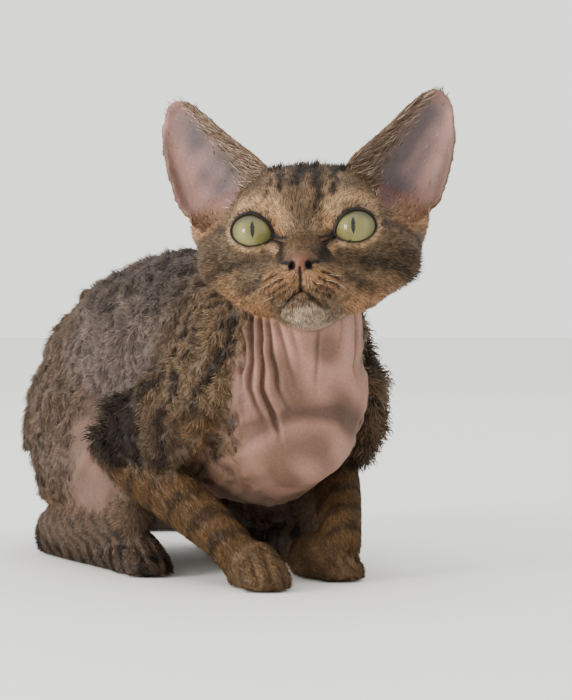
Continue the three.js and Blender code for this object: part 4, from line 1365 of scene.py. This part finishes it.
# %% Whiskers
WHISKER_STEPS = 9
WHISKER_THICK = 0.08
WHISKER_LONG = (2.5, 8)  # shortest and longest in mm
WHISKER_SHARE = 0.3  # part of the dark spots that carry one
BROW_SPOT = (16, 14)
ROOT_SUNK = 0.4
whisker_material, _, _, whisker_shader = new_material("whisker", 0.4)
whisker_shader.inputs["Base Color"].default_value = (*paint(198, 180, 156), 1)
skin_tree = BVHTree.FromPolygons(
    [Vector(p) for p in points], [tuple(t) for t in triangle.tolist()]
)


def skin_at(x, z):
    """The point of the face in front of a place on it, and the way out there."""
    start = Vector(from_head((x, -60, z)))
    hit, normal, _, _ = skin_tree.ray_cast(start, Vector(TURN @ np.array((0, 1.0, 0))))
    return np.array(hit), np.array(normal)


all_vertices = []
all_faces = []
offset = 0
for which in (-1, 1):
    starts = [spot for spot in whisker_spots() if draw.random() < WHISKER_SHARE] + [BROW_SPOT]
    for x, z in starts:
        place, out = skin_at(which * x, z)
        long = draw.uniform(*WHISKER_LONG) * MM
        side_way = which * draw.uniform(0.9, 1.4)
        away = TURN @ np.array((side_way, draw.uniform(-0.1, 0.5), draw.uniform(-0.7, 0.3)))
        away = unit(away + 0.9 * out)
        droop = TURN @ np.array((which * draw.uniform(-0.3, 0.4), 0.4, draw.uniform(-0.9, 0.4)))
        share = np.linspace(0, 1, WHISKER_STEPS)[:, None]
        line = place + long * (away * share + 0.45 * droop * share**2) - out * ROOT_SUNK * MM
        radii = WHISKER_THICK * MM * (1 - 0.8 * share[:, 0])
        vertices, faces = tube(line, radii, 5, False)
        all_vertices.append(vertices)
        all_faces.append(faces + offset)
        offset += len(vertices)
whiskers = mesh_piece("whiskers", np.vstack(all_vertices), np.vstack(all_faces), whisker_material)
turned_out(whiskers)
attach(whiskers, "root")
print("whiskers:", len(all_faces))

# %% The skin stands for the flesh
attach(skin, "root")
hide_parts(*flesh_names)
print("solids that the skin stands for:", len(flesh_names))

# %% [markdown]
# ## Studio
#
# A pale floor and a pale surround, two narrow window-like lights at the left of the camera, which
# also give the bright patches in each eye, and weaker lights from above and behind.

# %% Floor and lights
PALE = (*paint(226, 226, 222), 1)
FLOOR_RADIUS = 9
FLOOR_PLACE = (0, 0, -0.0003)  # a little under the feet, so that the two never share a plane
WINDOW_SIZE = (0.3, 0.6)
WINDOW_AIM = (-0.02, -0.07, 0.14)
WINDOW_TINT = (1, 0.985, 0.95)
bpy.ops.mesh.primitive_circle_add(
    vertices=96, radius=FLOOR_RADIUS, fill_type="NGON", location=FLOOR_PLACE
)
floor = bpy.context.object
floor.name = "floor"
floor_material, _, _, floor_shader = new_material("pale_floor", 0.8)
floor_shader.inputs["Base Color"].default_value = (*paint(238, 238, 234), 1)
floor.data.materials.append(floor_material)

world = bpy.data.worlds.new("studio")
bpy.context.scene.world = world
world.use_nodes = True
world.node_tree.nodes["Background"].inputs["Color"].default_value = PALE
world.node_tree.nodes["Background"].inputs["Strength"].default_value = 2.2


def area_light(name, place, aim, size, power, tint=(1, 1, 1)):
    data = bpy.data.lights.new(name, "AREA")
    data.shape = "RECTANGLE"
    data.size, data.size_y = size
    data.energy = power
    data.color = tint
    lamp = bpy.data.objects.new(name, data)
    lamp.location = place
    lamp.rotation_euler = (Vector(aim) - Vector(place)).to_track_quat("-Z", "Y").to_euler()
    bpy.context.scene.collection.objects.link(lamp)


area_light("window_left", (-1.88, 0.12, 0.5), WINDOW_AIM, WINDOW_SIZE, 20, WINDOW_TINT)
area_light("window_right", (-1.84, -0.36, 0.5), WINDOW_AIM, WINDOW_SIZE, 24, WINDOW_TINT)
area_light("sky", (-0.3, -0.3, 2.2), (0, 0, 0.05), (2.0, 2.0), 8, (0.97, 0.985, 1))
area_light("back", (1.3, 1.5, 1.2), (0, 0.05, 0.1), (1.2, 1.0), 4)
print("lights:", len(bpy.data.lights))

# %% [markdown]
# ## Camera
#
# The photograph looks at the cat from its right front, almost level, from about a metre.
# The camera is placed from the point between the eyes, with a long lens.

# %% Camera
CAMERA_FROM_FACE = Vector((-0.4521, -0.8364, -0.0336))
CAMERA_LOOKS = Vector((0.469, 0.883, -0.017))
camera_data = bpy.data.cameras.new("camera")
camera_data.lens = 119.7
camera_data.sensor_width = 36
camera = bpy.data.objects.new("camera", camera_data)
camera.location = face_point + CAMERA_FROM_FACE
camera.rotation_euler = CAMERA_LOOKS.to_track_quat("-Z", "Y").to_euler()
bpy.context.scene.collection.objects.link(camera)
bpy.context.scene.camera = camera
print("metres from the camera to the face:", round(CAMERA_FROM_FACE.length, 2))
